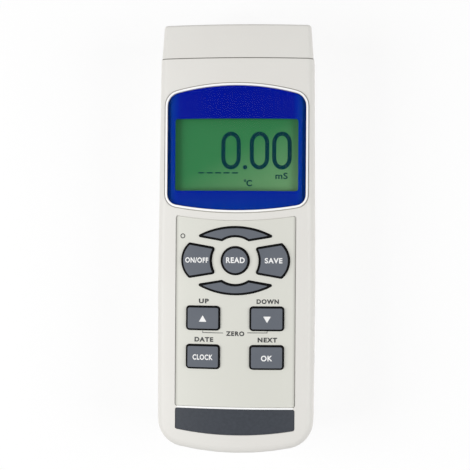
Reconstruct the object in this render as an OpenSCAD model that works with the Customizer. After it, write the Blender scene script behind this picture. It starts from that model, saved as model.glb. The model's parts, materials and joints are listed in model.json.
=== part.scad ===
// Handheld water quality meter, lying on its back with the display facing up.
// X runs across the meter, Y from its foot to its probe end, Z from the back to the front face.
// The origin is the middle of the footprint, on the plane that the back rests on.

/* [Housing] */
// Overall length, foot to probe end
body_l = 182.2; // [181:0.1:195]
// Width across the widest part of the grip
body_w = 68; // [67:0.5:72]
// Thickness from the back to the crest of the front face
body_t = 43.9; // [43.9:0.1:48]
// Thickness of the moulded walls
wall = 2.4; // [2.2:0.1:2.6]
// Radius of the front face's crown, side to side
crown_r = 180; // [175:5:400]
// Corner radius at the foot, seen from the front
foot_corner_r = 12; // [10:0.5:14]
// Radius of the bowed foot edge, seen from the front
foot_bow_r = 130; // [110:5:200]
// Rolled edge round the front face
front_edge_r = 3; // [2.6:0.1:3.6]
// Rolled edge round the back
back_edge_r = 3.5; // [3:0.25:4]
// Height of the joint between the two shells
parting_z = 24; // [23.5:0.25:24.5]
// Height of the tongue that locates one shell in the other
lip_h = 1.4; // [1:0.1:2]
// Length of the end cap
cap_l = 14.8; // [12:0.1:15]
// How much each side of the cap tapers towards its end
cap_taper = 1.3; // [0.6:0.1:1.6]
// Thickness of the cap's end wall
cap_end_wall = 3.4; // [3:0.1:4]
// How far the cap's spigot reaches into the shells
spigot_l = 3.7; // [3.4:0.1:3.8]
// Width of the shadow groove between the cap and the shells
seam_groove_w = 0.4; // [0.2:0.05:0.6]
// Depth of the shadow groove between the cap and the shells
seam_groove_depth = 0.6; // [0.3:0.05:0.8]

/* [Window] */
// Width of the blue border
window_w = 58.9; // [54:0.1:59]
// Height of the blue border on the centre line
window_h = 52.7; // [50:0.1:53]
// Distance from the cap joint down to the border's crest
window_from_seam = 11.4; // [11:0.1:13]
// Radius of the border's bowed upper edge
window_top_r = 105; // [90:5:150]
// Radius of the border's bowed lower edge
window_bottom_r = 150; // [130:5:200]
// Thickness of the clear lens
lens_t = 1.2; // [1:0.1:1.3]
// Thickness of the printed border film behind the lens
film_t = 0.2; // [0.1:0.05:0.3]
// Width of the raised rim round the lens
rim_w = 0.9; // [0.8:0.1:1.6]
// Height of the raised rim above the front face
rim_h = 0.5; // [0.3:0.1:0.7]
// Width of the fine groove that runs round the raised rim
rim_groove_w = 0.4; // [0.2:0.05:0.6]
// Depth of the fine groove that runs round the raised rim
rim_groove_depth = 0.35; // [0.2:0.05:0.5]
// Width of the visible display area
view_w = 52.4; // [46:0.2:52.8]
// Height of the visible display area
view_h = 30.6; // [26:0.1:31]
// Distance from the border's crest down to the middle of the display
view_from_crest = 29.2; // [28:0.1:29.5]

/* [Keys] */
// Diameter of the round centre key
hold_d = 11.4; // [10:0.1:12]
// Distance from the cap joint down to the centre key
hold_from_seam = 85.4; // [85:0.1:86.5]
// Radius of the inner edges of the four keys round the centre key
ring_r = 10; // [9.4:0.1:10.4]
// Reach of the side keys from the centre key
side_reach = 23; // [22:0.1:23.4]
// Radius of the side keys' outer edges
side_outer_r = 9.9; // [9.2:0.1:12]
// Half height of the side keys where their edges would cross the centre
side_half_h = 4; // [3.4:0.1:4.4]
// Reach of the two bow-shaped keys from the centre key
bow_reach = 14.5; // [13.8:0.1:14.8]
// Radius of the bow-shaped keys' outer edges
bow_outer_r = 33; // [31:0.2:36]
// Distance of the bow-shaped keys' inner edges from the centre key
bow_inner = 7.2; // [6.8:0.1:7.6]
// Slope of the edges between the side keys and the bow-shaped keys
fan_angle = 9.8; // [8:0.1:12]
// Width of a rectangular key
key_w = 14; // [12:0.1:14.5]
// Height of a rectangular key
key_h = 9.8; // [8:0.1:10.5]
// Corner radius of a rectangular key
key_corner_r = 1.2; // [0.8:0.1:2]
// Distance between the two columns of rectangular keys
key_pitch_x = 27; // [26:0.1:28]
// Distance between the two rows of rectangular keys
key_pitch_y = 16.3; // [15:0.1:17]
// Distance from the centre key down to the first row
first_row = 24.4; // [23.5:0.1:25]
// How far a key stands above the printed panel
key_rise = 1.1; // [0.9:0.1:1.1]
// Gap round each key
key_gap = 0.35; // [0.25:0.05:0.5]
// Travel of a key
key_travel = 1; // [0.8:0.1:1.1]
// Width of the retaining flange round each key
key_flange = 0.7; // [0.5:0.1:0.9]
// Thickness of the keypad web on the board
web_t = 2.2; // [1.8:0.1:2.6]

/* [Printed panel] */
// Width of the printed panel
panel_w = 50.6; // [49:0.1:51]
// Distance from the window's rim down to the panel, on the centre line
panel_from_rim = 3.6; // [3:0.1:4]
// Height of the ridge between the panel and the bar
ridge_h = 0.9; // [0.8:0.1:1.4]
// Height of the dark bar on the centre line
bar_h = 10.9; // [9:0.1:11]
// Distance from the foot up to the bar's lowest point
bar_from_foot = 8.4; // [8:0.1:9]
// Radius of the bar's bowed lower edge
bar_bow_r = 160; // [120:5:220]
// Depth of the panel below the front face
panel_sink = 0.3; // [0.2:0.05:0.4]
// Thickness of the panel and of the bar
panel_t = 0.5; // [0.3:0.05:0.6]
// Gap between the panel's edge and its recess
panel_gap = 0.25; // [0.1:0.05:0.4]

/* [Battery bay] */
// Diameter of one cell
cell_d = 14.5; // [14:0.1:14.5]
// Length of one cell with its button
cell_l = 50.5; // [49:0.1:50.5]
// Free room between neighbouring cells
cell_gap = 0.4; // [0.2:0.1:0.5]
// Length of a contact spring with the cell in
spring_l = 2.2; // [1.8:0.1:2.4]
// Thickness of the contact plates
plate_t = 0.4; // [0.3:0.05:0.5]
// Thickness of the battery cover
cover_t = 2.2; // [2:0.1:2.4]
// Distance from the foot to the bay
bay_from_foot = 17.8; // [17:0.1:18]
// Thickness of the bay's walls
bay_wall = 1.4; // [1.2:0.1:1.6]

/* [Stand] */
// Width of the tilt stand
stand_w = 39; // [37:0.5:40]
// Length of the tilt stand from its pivot
stand_l = 38; // [36:0.5:38.5]
// Thickness of the tilt stand
stand_t = 2.6; // [2.4:0.1:2.8]
// Width of the stand's legs and of its bar
stand_leg_w = 7.5; // [6:0.1:8]
// Diameter of the stand's pivots
pivot_d = 2.2; // [2:0.1:2.4]
// Distance from the cap joint down to the stand's pivot
pivot_from_seam = 8.3; // [7.9:0.1:9]

/* [Sockets] */
// Bore of the probe socket
probe_bore_d = 13.4; // [12:0.2:14]
// Depth of the probe socket's bore
probe_bore_l = 7; // [6:0.5:8]
// Bore of the serial output jack
serial_bore_d = 3.6; // [3.5:0.05:3.7]
// Bore of the power input jack
power_bore_d = 5.6; // [5.5:0.1:5.8]
// Bore of the tripod insert
tripod_bore_d = 6.4; // [6.35:0.05:6.6]
// Depth of the tripod insert's bore
tripod_bore_l = 8; // [7:0.5:8.5]
// Distance between neighbouring openings in the side
side_pitch = 11; // [10.5:0.1:12]
// Distance from the centre key down to the power jack
power_from_key = 43.4; // [42:0.2:45]
// Width of the card slot
slot_w = 25.5; // [25:0.5:27]
// Height of the card slot
slot_h = 2.6; // [2.4:0.1:3]

/* [Boards] */
// Thickness of both circuit boards
board_t = 1.6; // [1.2:0.1:1.6]
// Height of the main board's upper face above the back
main_board_top = 32.7; // [32.6:0.1:32.8]
// Thickness of the backlight
backlight_t = 2.5; // [2.2:0.1:2.6]
// Thickness of the display glass
glass_t = 2.8; // [2.4:0.1:2.8]
// Height of the input board's upper face above the back
input_board_top = 12; // [11.8:0.1:12.6]

/* [Fasteners] */
// Shaft diameter of the case screws
case_screw_d = 2.8; // [2.6:0.1:3]
// Length of the case screws below their heads
case_screw_l = 18; // [16:0.5:20]
// Shaft diameter of the board screws
board_screw_d = 2.2; // [2:0.1:2.4]
// Length of the board screws below their heads
board_screw_l = 6; // [5:0.5:7]

/* [Hidden] */
KEYS = ["hold", "power", "record", "upper", "lower", "up", "down", "time", "enter"];

shell_color = [0.87, 0.87, 0.85];
key_color = [0.41, 0.42, 0.46];
board_color = [0.12, 0.38, 0.24];
metal_color = [0.75, 0.75, 0.74];

seat_gap = 0.1;
slip = 0.05;
cover_gap = 0.3;
over = 1;
half_w = body_w / 2;
foot_y = -body_l / 2;
head_y = body_l / 2;
seam_y = head_y - cap_l;
waist_y = foot_y + 72;
side_bow_r = 5000;
front_draft = 0.35;
back_draft = 0.7;
cap_step = 0.35;
cap_edge_r = 1.3;

// The plan outline is three tangent arcs a side: the flank, the foot corner and the bowed foot.
bow_c = [0, foot_y + foot_bow_r];
flank_c = [half_w - side_bow_r, waist_y];
corner_guess_y = bow_c.y - sqrt(pow(foot_bow_r - foot_corner_r, 2) - pow(half_w - foot_corner_r, 2));
corner_x = flank_c.x + sqrt(pow(side_bow_r - foot_corner_r, 2) - pow(corner_guess_y - waist_y, 2));
corner_c = [corner_x, bow_c.y - sqrt(pow(foot_bow_r - foot_corner_r, 2) - corner_x * corner_x)];
flank_end = atan2(corner_c.y - flank_c.y, corner_c.x - flank_c.x);
corner_end = atan2(corner_c.y - bow_c.y, corner_c.x - bow_c.x);

function arc(c, r, a0, a1, n) =
    [for (i = [0:n]) let (a = a0 + (a1 - a0) * i / n) c + r * [cos(a), sin(a)]];

function flank_x(y, inset) = flank_c.x + sqrt(pow(side_bow_r - inset, 2) - pow(y - flank_c.y, 2));

// Right half of the outline, from the probe end down to the middle of the foot.
function half_outline(inset, top_y, steps) = concat(
    [for (y = [top_y, waist_y]) [flank_x(y, inset), y]],
    arc(corner_c, foot_corner_r - inset, flank_end, corner_end, steps),
    [for (i = [1:3]) let (a = corner_end + (-90 - corner_end) * i / 3)
        i < 3 ? bow_c + (foot_bow_r - inset) * [cos(a), sin(a)]
              : [0, bow_c.y - foot_bow_r + inset]]);

function mirrored(half) = [for (i = [len(half) - 1:-1:0]) if (half[i].x > 0) [-half[i].x, half[i].y]];

function outline(inset, top_y = seam_y, steps = 10) =
    let (half = half_outline(inset, top_y, steps)) concat(half, mirrored(half));

function crown_drop(x) = crown_r - sqrt(crown_r * crown_r - x * x);

// The wall's section as [inset, height, share of the crown], from the back up to the front face.
function wall_section(off, steps) =
    let (rb = max(back_edge_r - off, 1), rf = max(front_edge_r - off, 0.8))
    concat(
        [for (i = [0:steps]) let (a = 90 * i / steps)
            [off + back_draft + rb * (1 - sin(a)), off + rb * (1 - cos(a)), 0]],
        [[off, parting_z, 0]],
        [for (i = [0:steps]) let (a = 90 * i / steps)
            [off + front_draft + rf * (1 - cos(a)), body_t - off - rf * (1 - sin(a)), 1]]);

// The moulded body as one closed skin: rings of the outline up the wall, then a crowned front face.
module moulded_body(off = 0, top_y = seam_y, steps = 4, corner_steps = 8, crown_steps = 14) {
    section = wall_section(off, steps);
    rings = [for (s = section)
        [for (p = outline(s[0], top_y, corner_steps)) [p.x, p.y, s[1] - s[2] * crown_drop(p.x)]]];
    n = len(rings[0]);
    mid = (n - 1) / 2;
    top = (len(rings) - 1) * n;
    crest = section[len(section) - 1];
    face = [for (i = [0:mid - 1]) for (q = [1:crown_steps - 1])
        let (p = rings[len(rings) - 1][i], x = p.x * (1 - 2 * q / crown_steps))
        [x, p.y, crest[1] - crown_drop(x)]];
    function at(i, q) = q == 0 ? top + i : q == crown_steps ? top + n - 1 - i
        : len(rings) * n + i * (crown_steps - 1) + q - 1;
    points = concat([for (r = rings) each r], face);
    faces = concat(
        [[for (k = [n - 1:-1:0]) k]],
        [for (j = [0:len(rings) - 2]) for (k = [0:n - 2])
            each [[j * n + k, j * n + k + 1, (j + 1) * n + k],
                  [j * n + k + 1, (j + 1) * n + k + 1, (j + 1) * n + k]]],
        [for (i = [0:mid - 2]) for (q = [0:crown_steps - 1])
            each [[at(i, q), at(i + 1, q), at(i, q + 1)],
                  [at(i + 1, q), at(i + 1, q + 1), at(i, q + 1)]]],
        [for (q = [0:crown_steps - 1]) [at(mid - 1, q), top + mid, at(mid - 1, q + 1)]],
        [concat([for (q = [1:crown_steps - 1]) at(0, q)],
                [for (j = [len(rings) - 1:-1:0]) j * n + n - 1],
                [for (j = [0:len(rings) - 1]) j * n])]);
    polyhedron(points, faces, convexity = 6);
}

// Section of the body across its length, as a closed ring at one place along it.
function end_ring(y, off, steps = 4, crown_steps = 10) =
    let (side = [for (s = wall_section(off, steps))
            let (x = flank_x(seam_y, s[0])) [x, y, s[1] - s[2] * crown_drop(x)]],
         crest = body_t - off,
         edge_x = side[len(side) - 1].x)
    concat(side,
        [for (q = [1:crown_steps - 1]) let (x = edge_x * (1 - 2 * q / crown_steps))
            [x, y, crest - crown_drop(x)]],
        [for (i = [len(side) - 1:-1:0]) [-side[i].x, y, side[i].z]]);

module loft(rings) {
    n = len(rings[0]);
    last = len(rings) - 1;
    polyhedron([for (r = rings) each r],
        concat([[for (k = [n - 1:-1:0]) k]],
            [for (j = [0:last - 1]) for (k = [0:n - 1])
                let (a = j * n + k, b = j * n + (k + 1) % n)
                each [[a, b, b + n], [a, b + n, a + n]]],
            [[for (k = [0:n - 1]) last * n + k]]),
        convexity = 4);
}

// Everything under a surface that lies at one depth below the crowned front face.
module under_crown(depth) {
    translate([0, foot_y - over, body_t - crown_r]) rotate([-90, 0, 0])
        cylinder(r = crown_r - depth, h = body_l + 2 * over, $fn = 240);
}

module crown_layer(top, bottom) {
    difference() {
        under_crown(top);
        translate([0, -over, 0]) under_crown(bottom);
        translate([0, over, 0]) under_crown(bottom);
    }
}

module prism(points, low, high) {
    translate([0, 0, low]) linear_extrude(high - low) polygon(points);
}

// Half width at a height, for what spans the hollow of the shells.
inner_half_w = half_w - wall - front_draft;
skin_top = body_t + over;
mid_depth = 10;

// An upright outline with straight sides and bowed ends; a negative radius bows an end inwards.
function bowed_half(w, y, r, c, g, s) =
    let (cy = y - r, k = [w / 2 - c, cy + sign(r) * sqrt(pow(r - c, 2) - pow(w / 2 - c, 2))],
         a = atan2(sign(r) * (k.y - cy), sign(r) * k.x))
    concat(arc([0, cy], r - g, 90, a, s), arc(k, c - g, a, 0, 5));

function flip_y(points) = [for (i = [len(points) - 1:-1:0]) [points[i].x, -points[i].y]];
function flip_x(points) = [for (i = [len(points) - 1:-1:0]) [-points[i].x, points[i].y]];

function bowed(w, top, bottom, r_top, r_bottom, c_top, c_bottom, g = 0, s = 8) =
    let (upper = bowed_half(w, top, r_top, c_top, g, s),
         lower = flip_y(bowed_half(w, -bottom, r_bottom, c_bottom, g, s)),
         half = concat(upper, lower))
    concat(half, [for (p = flip_x(half)) if (p.x < -0.001) p]);

function rounded(w, h, r, c = [0, 0], n = 4) =
    [for (q = [0:3]) each arc(c + [(q == 0 || q == 3 ? 1 : -1) * (w / 2 - r),
                                   (q < 2 ? 1 : -1) * (h / 2 - r)], r, 90 * q, 90 * q + 90, n)];

flat_r = 5000;
window_top = seam_y - window_from_seam;
window_bottom = window_top - window_h;
window_shoulder_r = 5.5;
window_corner_r = 4.5;
view_y = window_top - view_from_crest;
function window_outline(g) = bowed(window_w, window_top, window_bottom, window_top_r,
    window_bottom_r, window_shoulder_r, window_corner_r, g);

hold_y = seam_y - hold_from_seam;
bar_bottom = foot_y + bar_from_foot;
bar_top = bar_bottom + bar_h;
panel_bottom = bar_top + ridge_h;
panel_top = window_bottom - rim_w - panel_from_rim;
panel_bow_r = window_bottom_r + rim_w + panel_from_rim;
panel_corner_r = 0.8;
function panel_outline(g) = bowed(panel_w, panel_top, panel_bottom, -panel_bow_r, flat_r,
    panel_corner_r, panel_corner_r, g);
function bar_outline(g) = bowed(panel_w, bar_top, bar_bottom, flat_r, bar_bow_r,
    panel_corner_r, panel_corner_r, g);
recess_depth = panel_sink + panel_t;

// Point at a distance from a sloped line and at a radius from a centre, on the right side.
function line_point(h, c, r) =
    let (n = [-sin(fan_angle), cos(fan_angle)], d = [cos(fan_angle), sin(fan_angle)])
    n * h + d * (d * c + sqrt(r * r - pow(h - n * c, 2)));

key_tip_r = 0.9;
bow_tip_r = 0.5;
function angle_of(p) = atan2(p.y, p.x);

function side_half(g) =
    let (h = side_half_h - g, rt = key_tip_r - g,
         c_out = [side_reach - side_outer_r, 0],
         inner = line_point(h - rt, [0, 0], ring_r + g + rt),
         outer = line_point(h - rt, c_out, side_outer_r - g - rt))
    concat(
        arc([0, 0], ring_r + g, 0, angle_of(inner), 4),
        arc(inner, rt, angle_of(inner) + 180, 90 + fan_angle, 3),
        arc(outer, rt, 90 + fan_angle, angle_of(outer - c_out), 3),
        arc(c_out, side_outer_r - g, angle_of(outer - c_out), 0, 6));

function bow_half(g) =
    let (h = bow_inner + g, rt = bow_tip_r - g,
         c_out = [0, bow_reach - bow_outer_r],
         notch = line_point(h + rt, [0, 0], ring_r + g + rt),
         tip = line_point(h + rt, c_out, bow_outer_r - g - rt))
    concat(
        arc([0, 0], ring_r + g, 90, angle_of(notch), 4),
        arc(notch, rt, angle_of(notch) + 180, 270 + fan_angle, 3),
        arc(tip, rt, fan_angle - 90, angle_of(tip - c_out), 4),
        arc(c_out, bow_outer_r - g, angle_of(tip - c_out), 90, 10));

function full_side(g) =
    let (half = side_half(g))
    concat(half, [for (p = flip_y(half)) if (p.y < -0.001) p]);
function full_bow(g) =
    let (half = bow_half(g))
    concat(half, [for (p = flip_x(half)) if (p.x < -0.001) p]);

function key_at(k) =
    k == "up" ? [-key_pitch_x / 2, hold_y - first_row] :
    k == "down" ? [key_pitch_x / 2, hold_y - first_row] :
    k == "time" ? [-key_pitch_x / 2, hold_y - first_row - key_pitch_y] :
    k == "enter" ? [key_pitch_x / 2, hold_y - first_row - key_pitch_y] : [0, hold_y];

// Outline of a key's hole, or of what lies a distance inside it.
module key_plan(k, g) {
    translate(key_at(k))
        if (k == "hold") circle(r = hold_d / 2 + key_gap - g, $fn = 72);
        else if (k == "record") polygon(full_side(g));
        else if (k == "power") mirror([1, 0]) polygon(full_side(g));
        else if (k == "upper") polygon(full_bow(g));
        else if (k == "lower") mirror([0, 1]) polygon(full_bow(g));
        else polygon(rounded(key_w + 2 * key_gap - 2 * g, key_h + 2 * key_gap - 2 * g,
                             max(key_corner_r + key_gap - g, 0.5)));
}

module at_sides(x, y) {
    for (s = [-1, 1]) translate([s * x, y, 0]) children();
}

// A screw with its head up, seated at the origin, with a cross recess.
module screw(d, l, head_d, head_h) {
    difference() {
        union() {
            cylinder(d = head_d, h = head_h, $fn = 32);
            translate([0, 0, -l]) cylinder(d = d, h = l + head_h / 2, $fn = 24);
        }
        for (a = [0, 90]) rotate(a) translate([-head_d * 0.3, -head_d * 0.06, head_h * 0.45])
            cube([head_d * 0.6, head_d * 0.12, head_h]);
    }
}

case_boss_r = 3.6;
case_head_d = case_screw_d + 2.6;
case_head_h = 2;
case_seat_z = 10;
case_split_z = 20;
case_foot = [20, foot_y + 11];
case_head = [26.3, seam_y - 7.8];
module at_case_screws() {
    at_sides(case_foot.x, case_foot.y) children();
    at_sides(case_head.x, case_head.y) children();
}

board_boss_r = 2.3;
board_boss_x = 27;
board_head_d = board_screw_d + 1.8;
board_head_h = 1.5;
main_board_bottom = main_board_top - board_t;
board_edge_gap = 0.6;
main_board_end = seam_y - 14.3;
module at_board_screws() {
    for (y = [main_board_end - 3.5, view_y - 27, hold_y - 52.9]) at_sides(board_boss_x, y) children();
}

stem_bottom = main_board_top + 0.3 + key_travel;
flange_top = wall + 0.2;
flange_bottom = flange_top + 0.8;

bay_y0 = foot_y + bay_from_foot;
bay_y1 = bay_y0 + 6 * cell_d + 7 * cell_gap;
bay_half_w = (cell_l + spring_l + 2 * plate_t) / 2;
bay_mid = (bay_y0 + bay_y1) / 2;
bay_len = bay_y1 - bay_y0;
bay_ledge = 1;
cell_z = cover_t + 0.3 + cell_d / 2;
bay_top = cell_z + cell_d / 2 + 0.3;
ceiling_t = 1.6;
ledge_z = cover_t + 0.2;
tab_w = 16;
tab_l = 6.8;
tab_screw = 3.4;
cover_l = bay_len + 2 * bay_ledge;
cover_w = 2 * (bay_half_w + bay_ledge);
post_r = 4;
module at_cover_screws() {
    for (s = [-1, 1]) translate([0, bay_mid + s * (cover_l / 2 + tab_screw), 0]) children();
}

module cover_plan(g) {
    translate([0, bay_mid]) {
        polygon(rounded(cover_w + 2 * g, cover_l + 2 * g, 2 + g));
        for (s = [-1, 1]) translate([0, s * cover_l / 2])
            polygon(rounded(tab_w + 2 * g, 2 * (tab_l + g), 3 + g));
    }
}

pivot_y = seam_y - pivot_from_seam;
pivot_z = 1.95;
stand_z = pivot_z - stand_t / 2;
stand_gap = 0.35;
pocket_z = stand_z + stand_t + stand_gap;
tray_wall = 2.4;
pivot_l = 2;
scoop_w = 12;
scoop_r = 3;
scoop_depth = 1.5;
tripod_y = pivot_y - stand_l + stand_leg_w + 10.5;
tripod_d = 9.6;
tripod_boss_r = tripod_d / 2 + 1.8;
tray_top = pocket_z + wall;

// The stand's two legs and the bar that joins them, a distance larger than the stand itself.
module stand_plan(g) {
    difference() {
        union() {
            translate([0, pivot_y - stand_l / 2])
                polygon(rounded(stand_w + 2 * g, stand_l + 2 * g, 2.5 + g));
            translate([-stand_w / 2 - g, pivot_y - stand_l / 2])
                square([stand_w + 2 * g, stand_l / 2 + stand_t / 2 + g]);
        }
        translate([0, pivot_y - stand_l / 2 + stand_leg_w])
            polygon(rounded(stand_w - 2 * stand_leg_w - 2 * g, stand_l - 2 * g, 2));
    }
}

power_y = hold_y - power_from_key;
reset_y = power_y + side_pitch;
serial_y = reset_y + side_pitch;
jack_h = 6.2;
jack_z = main_board_bottom - jack_h / 2;
jack_face_x = inner_half_w - 0.9;
reset_d = 3;
reset_travel = 0.5;
socket_h = 2.9;
slot_z = main_board_bottom - socket_h / 2;

probe_z = 21;
probe_wall = 1.2;
probe_flange = 1.8;
probe_flange_t = 1;
probe_sink = 0.2;
probe_face = head_y - probe_sink;
probe_barrel_r = probe_bore_d / 2 + probe_wall;
insert_t = 5;
insert_d = probe_bore_d - 0.8;
contact_ring_r = 4.2;
contact_d = 1.3;
contact_tail = 3;
nut_t = 2.4;
insert_back = probe_face - probe_bore_l - insert_t;

standoff_r = 2.6;
input_board_bottom = input_board_top - board_t;
input_board_w = 41;
input_y0 = pivot_y - stand_l - 0.8;
input_y1 = seam_y - 10.3;
module at_input_screws() {
    for (y = [input_y0 + 4, input_y1 - 4]) at_sides(input_board_w / 2 - 3, y) children();
}

module front_shell() {
    color(shell_color) difference() {
        union() {
            difference() {
                moulded_body();
                moulded_body(wall, seam_y + over);
                translate([-body_w, foot_y - over, -over])
                    cube([2 * body_w, body_l + 2 * over, parting_z + over]);
            }
            difference() {
                prism(outline(wall / 2 + seat_gap / 2), parting_z - lip_h, parting_z + 1.5);
                prism(outline(wall, seam_y + over), parting_z - lip_h - over, parting_z + 2);
            }
            intersection() {
                crown_layer(-rim_h, wall / 2);
                prism(window_outline(-rim_w), mid_depth, skin_top);
            }
            intersection() {
                under_crown(wall / 2);
                union() {
                    at_case_screws() translate([0, 0, case_split_z])
                        cylinder(r = case_boss_r, h = body_t, $fn = 40);
                    at_board_screws() translate([0, 0, main_board_top])
                        cylinder(r = board_boss_r, h = body_t, $fn = 32);
                }
            }
        }
        intersection() {
            crown_layer(-over, lens_t + film_t + seat_gap);
            prism(window_outline(-seat_gap), mid_depth, skin_top);
        }
        difference() {
            intersection() {
                crown_layer(-over, rim_groove_depth);
                prism(window_outline(-rim_w - rim_groove_w), mid_depth, skin_top);
            }
            prism(window_outline(-rim_w), mid_depth - over, skin_top + over);
        }
        translate([0, view_y, mid_depth]) linear_extrude(skin_top)
            polygon(rounded(view_w + 2, view_h + 2, 1.5));
        intersection() {
            crown_layer(-over, recess_depth);
            prism(panel_outline(-panel_gap), mid_depth, skin_top);
        }
        intersection() {
            crown_layer(-over, recess_depth);
            prism(bar_outline(-seat_gap), mid_depth, skin_top);
        }
        for (k = KEYS) translate([0, 0, main_board_top]) linear_extrude(body_t) key_plan(k, 0);
        side_openings();
        at_case_screws() translate([0, 0, case_split_z - over])
            cylinder(d = case_screw_d, h = case_screw_l - (case_split_z - case_seat_z) + 2 * over, $fn = 32);
        at_board_screws() translate([0, 0, main_board_top - over])
            cylinder(d = board_screw_d, h = board_screw_l, $fn = 24);
        translate([-slot_w / 2, foot_y - over, slot_z - slot_h / 2]) cube([slot_w, wall + 3 * over, slot_h]);
        loft(snap_rings(snap_w / 2 + seat_gap, wall - snap_h));
    }
}

module side_openings() {
    translate([0, 0, jack_z]) rotate([0, 90, 0]) {
        translate([0, power_y, 0]) cylinder(d = power_bore_d + 1.4, h = body_w, $fn = 48);
        translate([0, serial_y, 0]) cylinder(d = serial_bore_d + 1.4, h = body_w, $fn = 48);
        translate([0, reset_y, 0]) cylinder(d = reset_d + 0.6, h = body_w, $fn = 48);
    }
}

module rear_shell() {
    color(shell_color) difference() {
        union() {
            difference() {
                moulded_body();
                moulded_body(wall, seam_y + over);
                prism(outline(wall / 2 - seat_gap / 2, seam_y + over), parting_z - lip_h - seat_gap,
                      parting_z + 5);
                translate([-body_w, foot_y - over, parting_z])
                    cube([2 * body_w, body_l + 2 * over, body_t]);
            }
            bay_block(bay_ledge + 0.3 + bay_wall, wall / 2, ledge_z + bay_wall);
            bay_block(bay_wall, ledge_z, bay_top + ceiling_t);
            at_cover_screws() translate([0, 0, wall / 2])
                cylinder(r = post_r, h = bay_top - wall / 2, $fn = 40);
            translate([0, 0, wall / 2]) linear_extrude(ledge_z + bay_wall - wall / 2)
                cover_plan(cover_gap + bay_wall);
            difference() {
                translate([0, 0, wall / 2]) linear_extrude(tray_top - wall / 2)
                    stand_plan(stand_gap + tray_wall);
                stand_island(over);
            }
            translate([0, tripod_y, wall / 2])
                cylinder(r = tripod_boss_r, h = tripod_bore_l + 1.8 - wall / 2, $fn = 48);
            at_input_screws() translate([0, 0, wall / 2])
                cylinder(r = standoff_r, h = input_board_bottom - wall / 2, $fn = 32);
            at_case_screws() translate([0, 0, wall / 2])
                cylinder(r = case_boss_r, h = case_split_z - wall / 2 - seat_gap, $fn = 40);
        }
        bay_inside();
        at_battery_leads() cylinder(d = lead_d + 0.6, h = body_t, $fn = 24);
        translate([0, 0, -over]) linear_extrude(ledge_z + over) cover_plan(cover_gap);
        at_cover_screws() cylinder(d = case_screw_d + 0.2, h = cover_head_z + cover_screw_l + 1, $fn = 32);
        translate([0, 0, -over]) linear_extrude(pocket_z + over) stand_plan(stand_gap);
        translate([-scoop_w / 2, pivot_y - stand_l - stand_gap, scoop_depth - scoop_r]) rotate([0, 90, 0])
            cylinder(r = scoop_r, h = scoop_w, $fn = 40);
        translate([-stand_w / 2 - pivot_l - 0.2, pivot_y, pivot_z]) rotate([0, 90, 0])
            cylinder(d = pivot_d + 2 * slip, h = stand_w + 2 * pivot_l + 0.4, $fn = 32);
        translate([0, tripod_y, -over]) cylinder(d = tripod_d, h = tripod_bore_l + over + 0.6, $fn = 48);
        at_input_screws() translate([0, 0, input_board_bottom - board_screw_l + board_t - 0.5])
            cylinder(d = board_screw_d, h = board_screw_l, $fn = 24);
        at_case_screws() {
            translate([0, 0, -over]) cylinder(d = case_head_d + 0.8, h = case_seat_z + over, $fn = 40);
            cylinder(d = case_screw_d + 0.4, h = parting_z, $fn = 32);
        }
        loft(snap_rings(snap_w / 2 + seat_gap, wall - snap_h));
    }
}

module bay_block(grow, low, high) {
    translate([-bay_half_w - grow, bay_y0 - grow, low])
        cube([2 * (bay_half_w + grow), bay_len + 2 * grow, high - low]);
}

module bay_inside() {
    translate([-bay_half_w, bay_y0, 0]) cube([2 * bay_half_w, bay_len, bay_top]);
}

// The hollow behind the flat of the back that lies between the stand's legs.
module stand_island(low) {
    w = stand_w - 2 * stand_leg_w - 2 * stand_gap - 2 * tray_wall;
    translate([-w / 2, pivot_y - stand_l + stand_leg_w + stand_gap + tray_wall, low])
        cube([w, stand_l, tray_top]);
}

// The bead round the cap's spigot and the groove that it snaps into.
snap_y = seam_y - 2.6;
snap_w = 1.2;
snap_h = 0.9;
function snap_rings(half, inset) = [end_ring(snap_y - half, inset), end_ring(snap_y + half, inset)];

spigot_wall = 1.5;

module end_cap() {
    color(shell_color) difference() {
        union() {
            loft(concat(
                [for (y = [0, seam_groove_w]) end_ring(seam_y + y, cap_step + seam_groove_depth)],
                [end_ring(seam_y + seam_groove_w, cap_step)],
                [for (a = [0:30:90]) end_ring(head_y - cap_edge_r * (1 - sin(a)),
                                              cap_taper + cap_edge_r * (1 - cos(a)))]));
            loft([end_ring(seam_y - spigot_l, wall + seat_gap), end_ring(seam_y + over, wall + seat_gap)]);
            loft(snap_rings(snap_w / 2, wall + seat_gap - snap_h));
        }
        loft([end_ring(seam_y - spigot_l - over, wall + spigot_wall),
              end_ring(head_y - cap_end_wall, wall + spigot_wall)]);
        translate([0, head_y - cap_end_wall - over, probe_z]) rotate([-90, 0, 0])
            cylinder(r = probe_barrel_r, h = cap_end_wall + 2 * over, $fn = 64);
        translate([0, probe_face - probe_flange_t, probe_z]) rotate([-90, 0, 0])
            cylinder(r = probe_barrel_r + probe_flange, h = cap_end_wall, $fn = 64);
    }
}

module window_lens() {
    color([0.75, 0.85, 0.95, 0.4]) intersection() {
        crown_layer(0, lens_t);
        prism(window_outline(0), mid_depth, skin_top);
    }
}

module window_border() {
    color([0.02, 0.11, 0.58]) difference() {
        intersection() {
            crown_layer(lens_t, lens_t + film_t);
            prism(window_outline(0), mid_depth, skin_top);
        }
        translate([0, view_y, mid_depth]) linear_extrude(skin_top)
            polygon(rounded(view_w, view_h, 1));
    }
}

module key_panel() {
    color([0.87, 0.87, 0.83]) difference() {
        intersection() {
            crown_layer(panel_sink, recess_depth);
            prism(panel_outline(0), mid_depth, skin_top);
        }
        for (k = KEYS) translate([0, 0, mid_depth]) linear_extrude(body_t) key_plan(k, 0);
    }
}

module name_bar() {
    color([0.3, 0.31, 0.34]) intersection() {
        crown_layer(panel_sink, recess_depth);
        prism(bar_outline(0), mid_depth, skin_top);
    }
}

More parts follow.
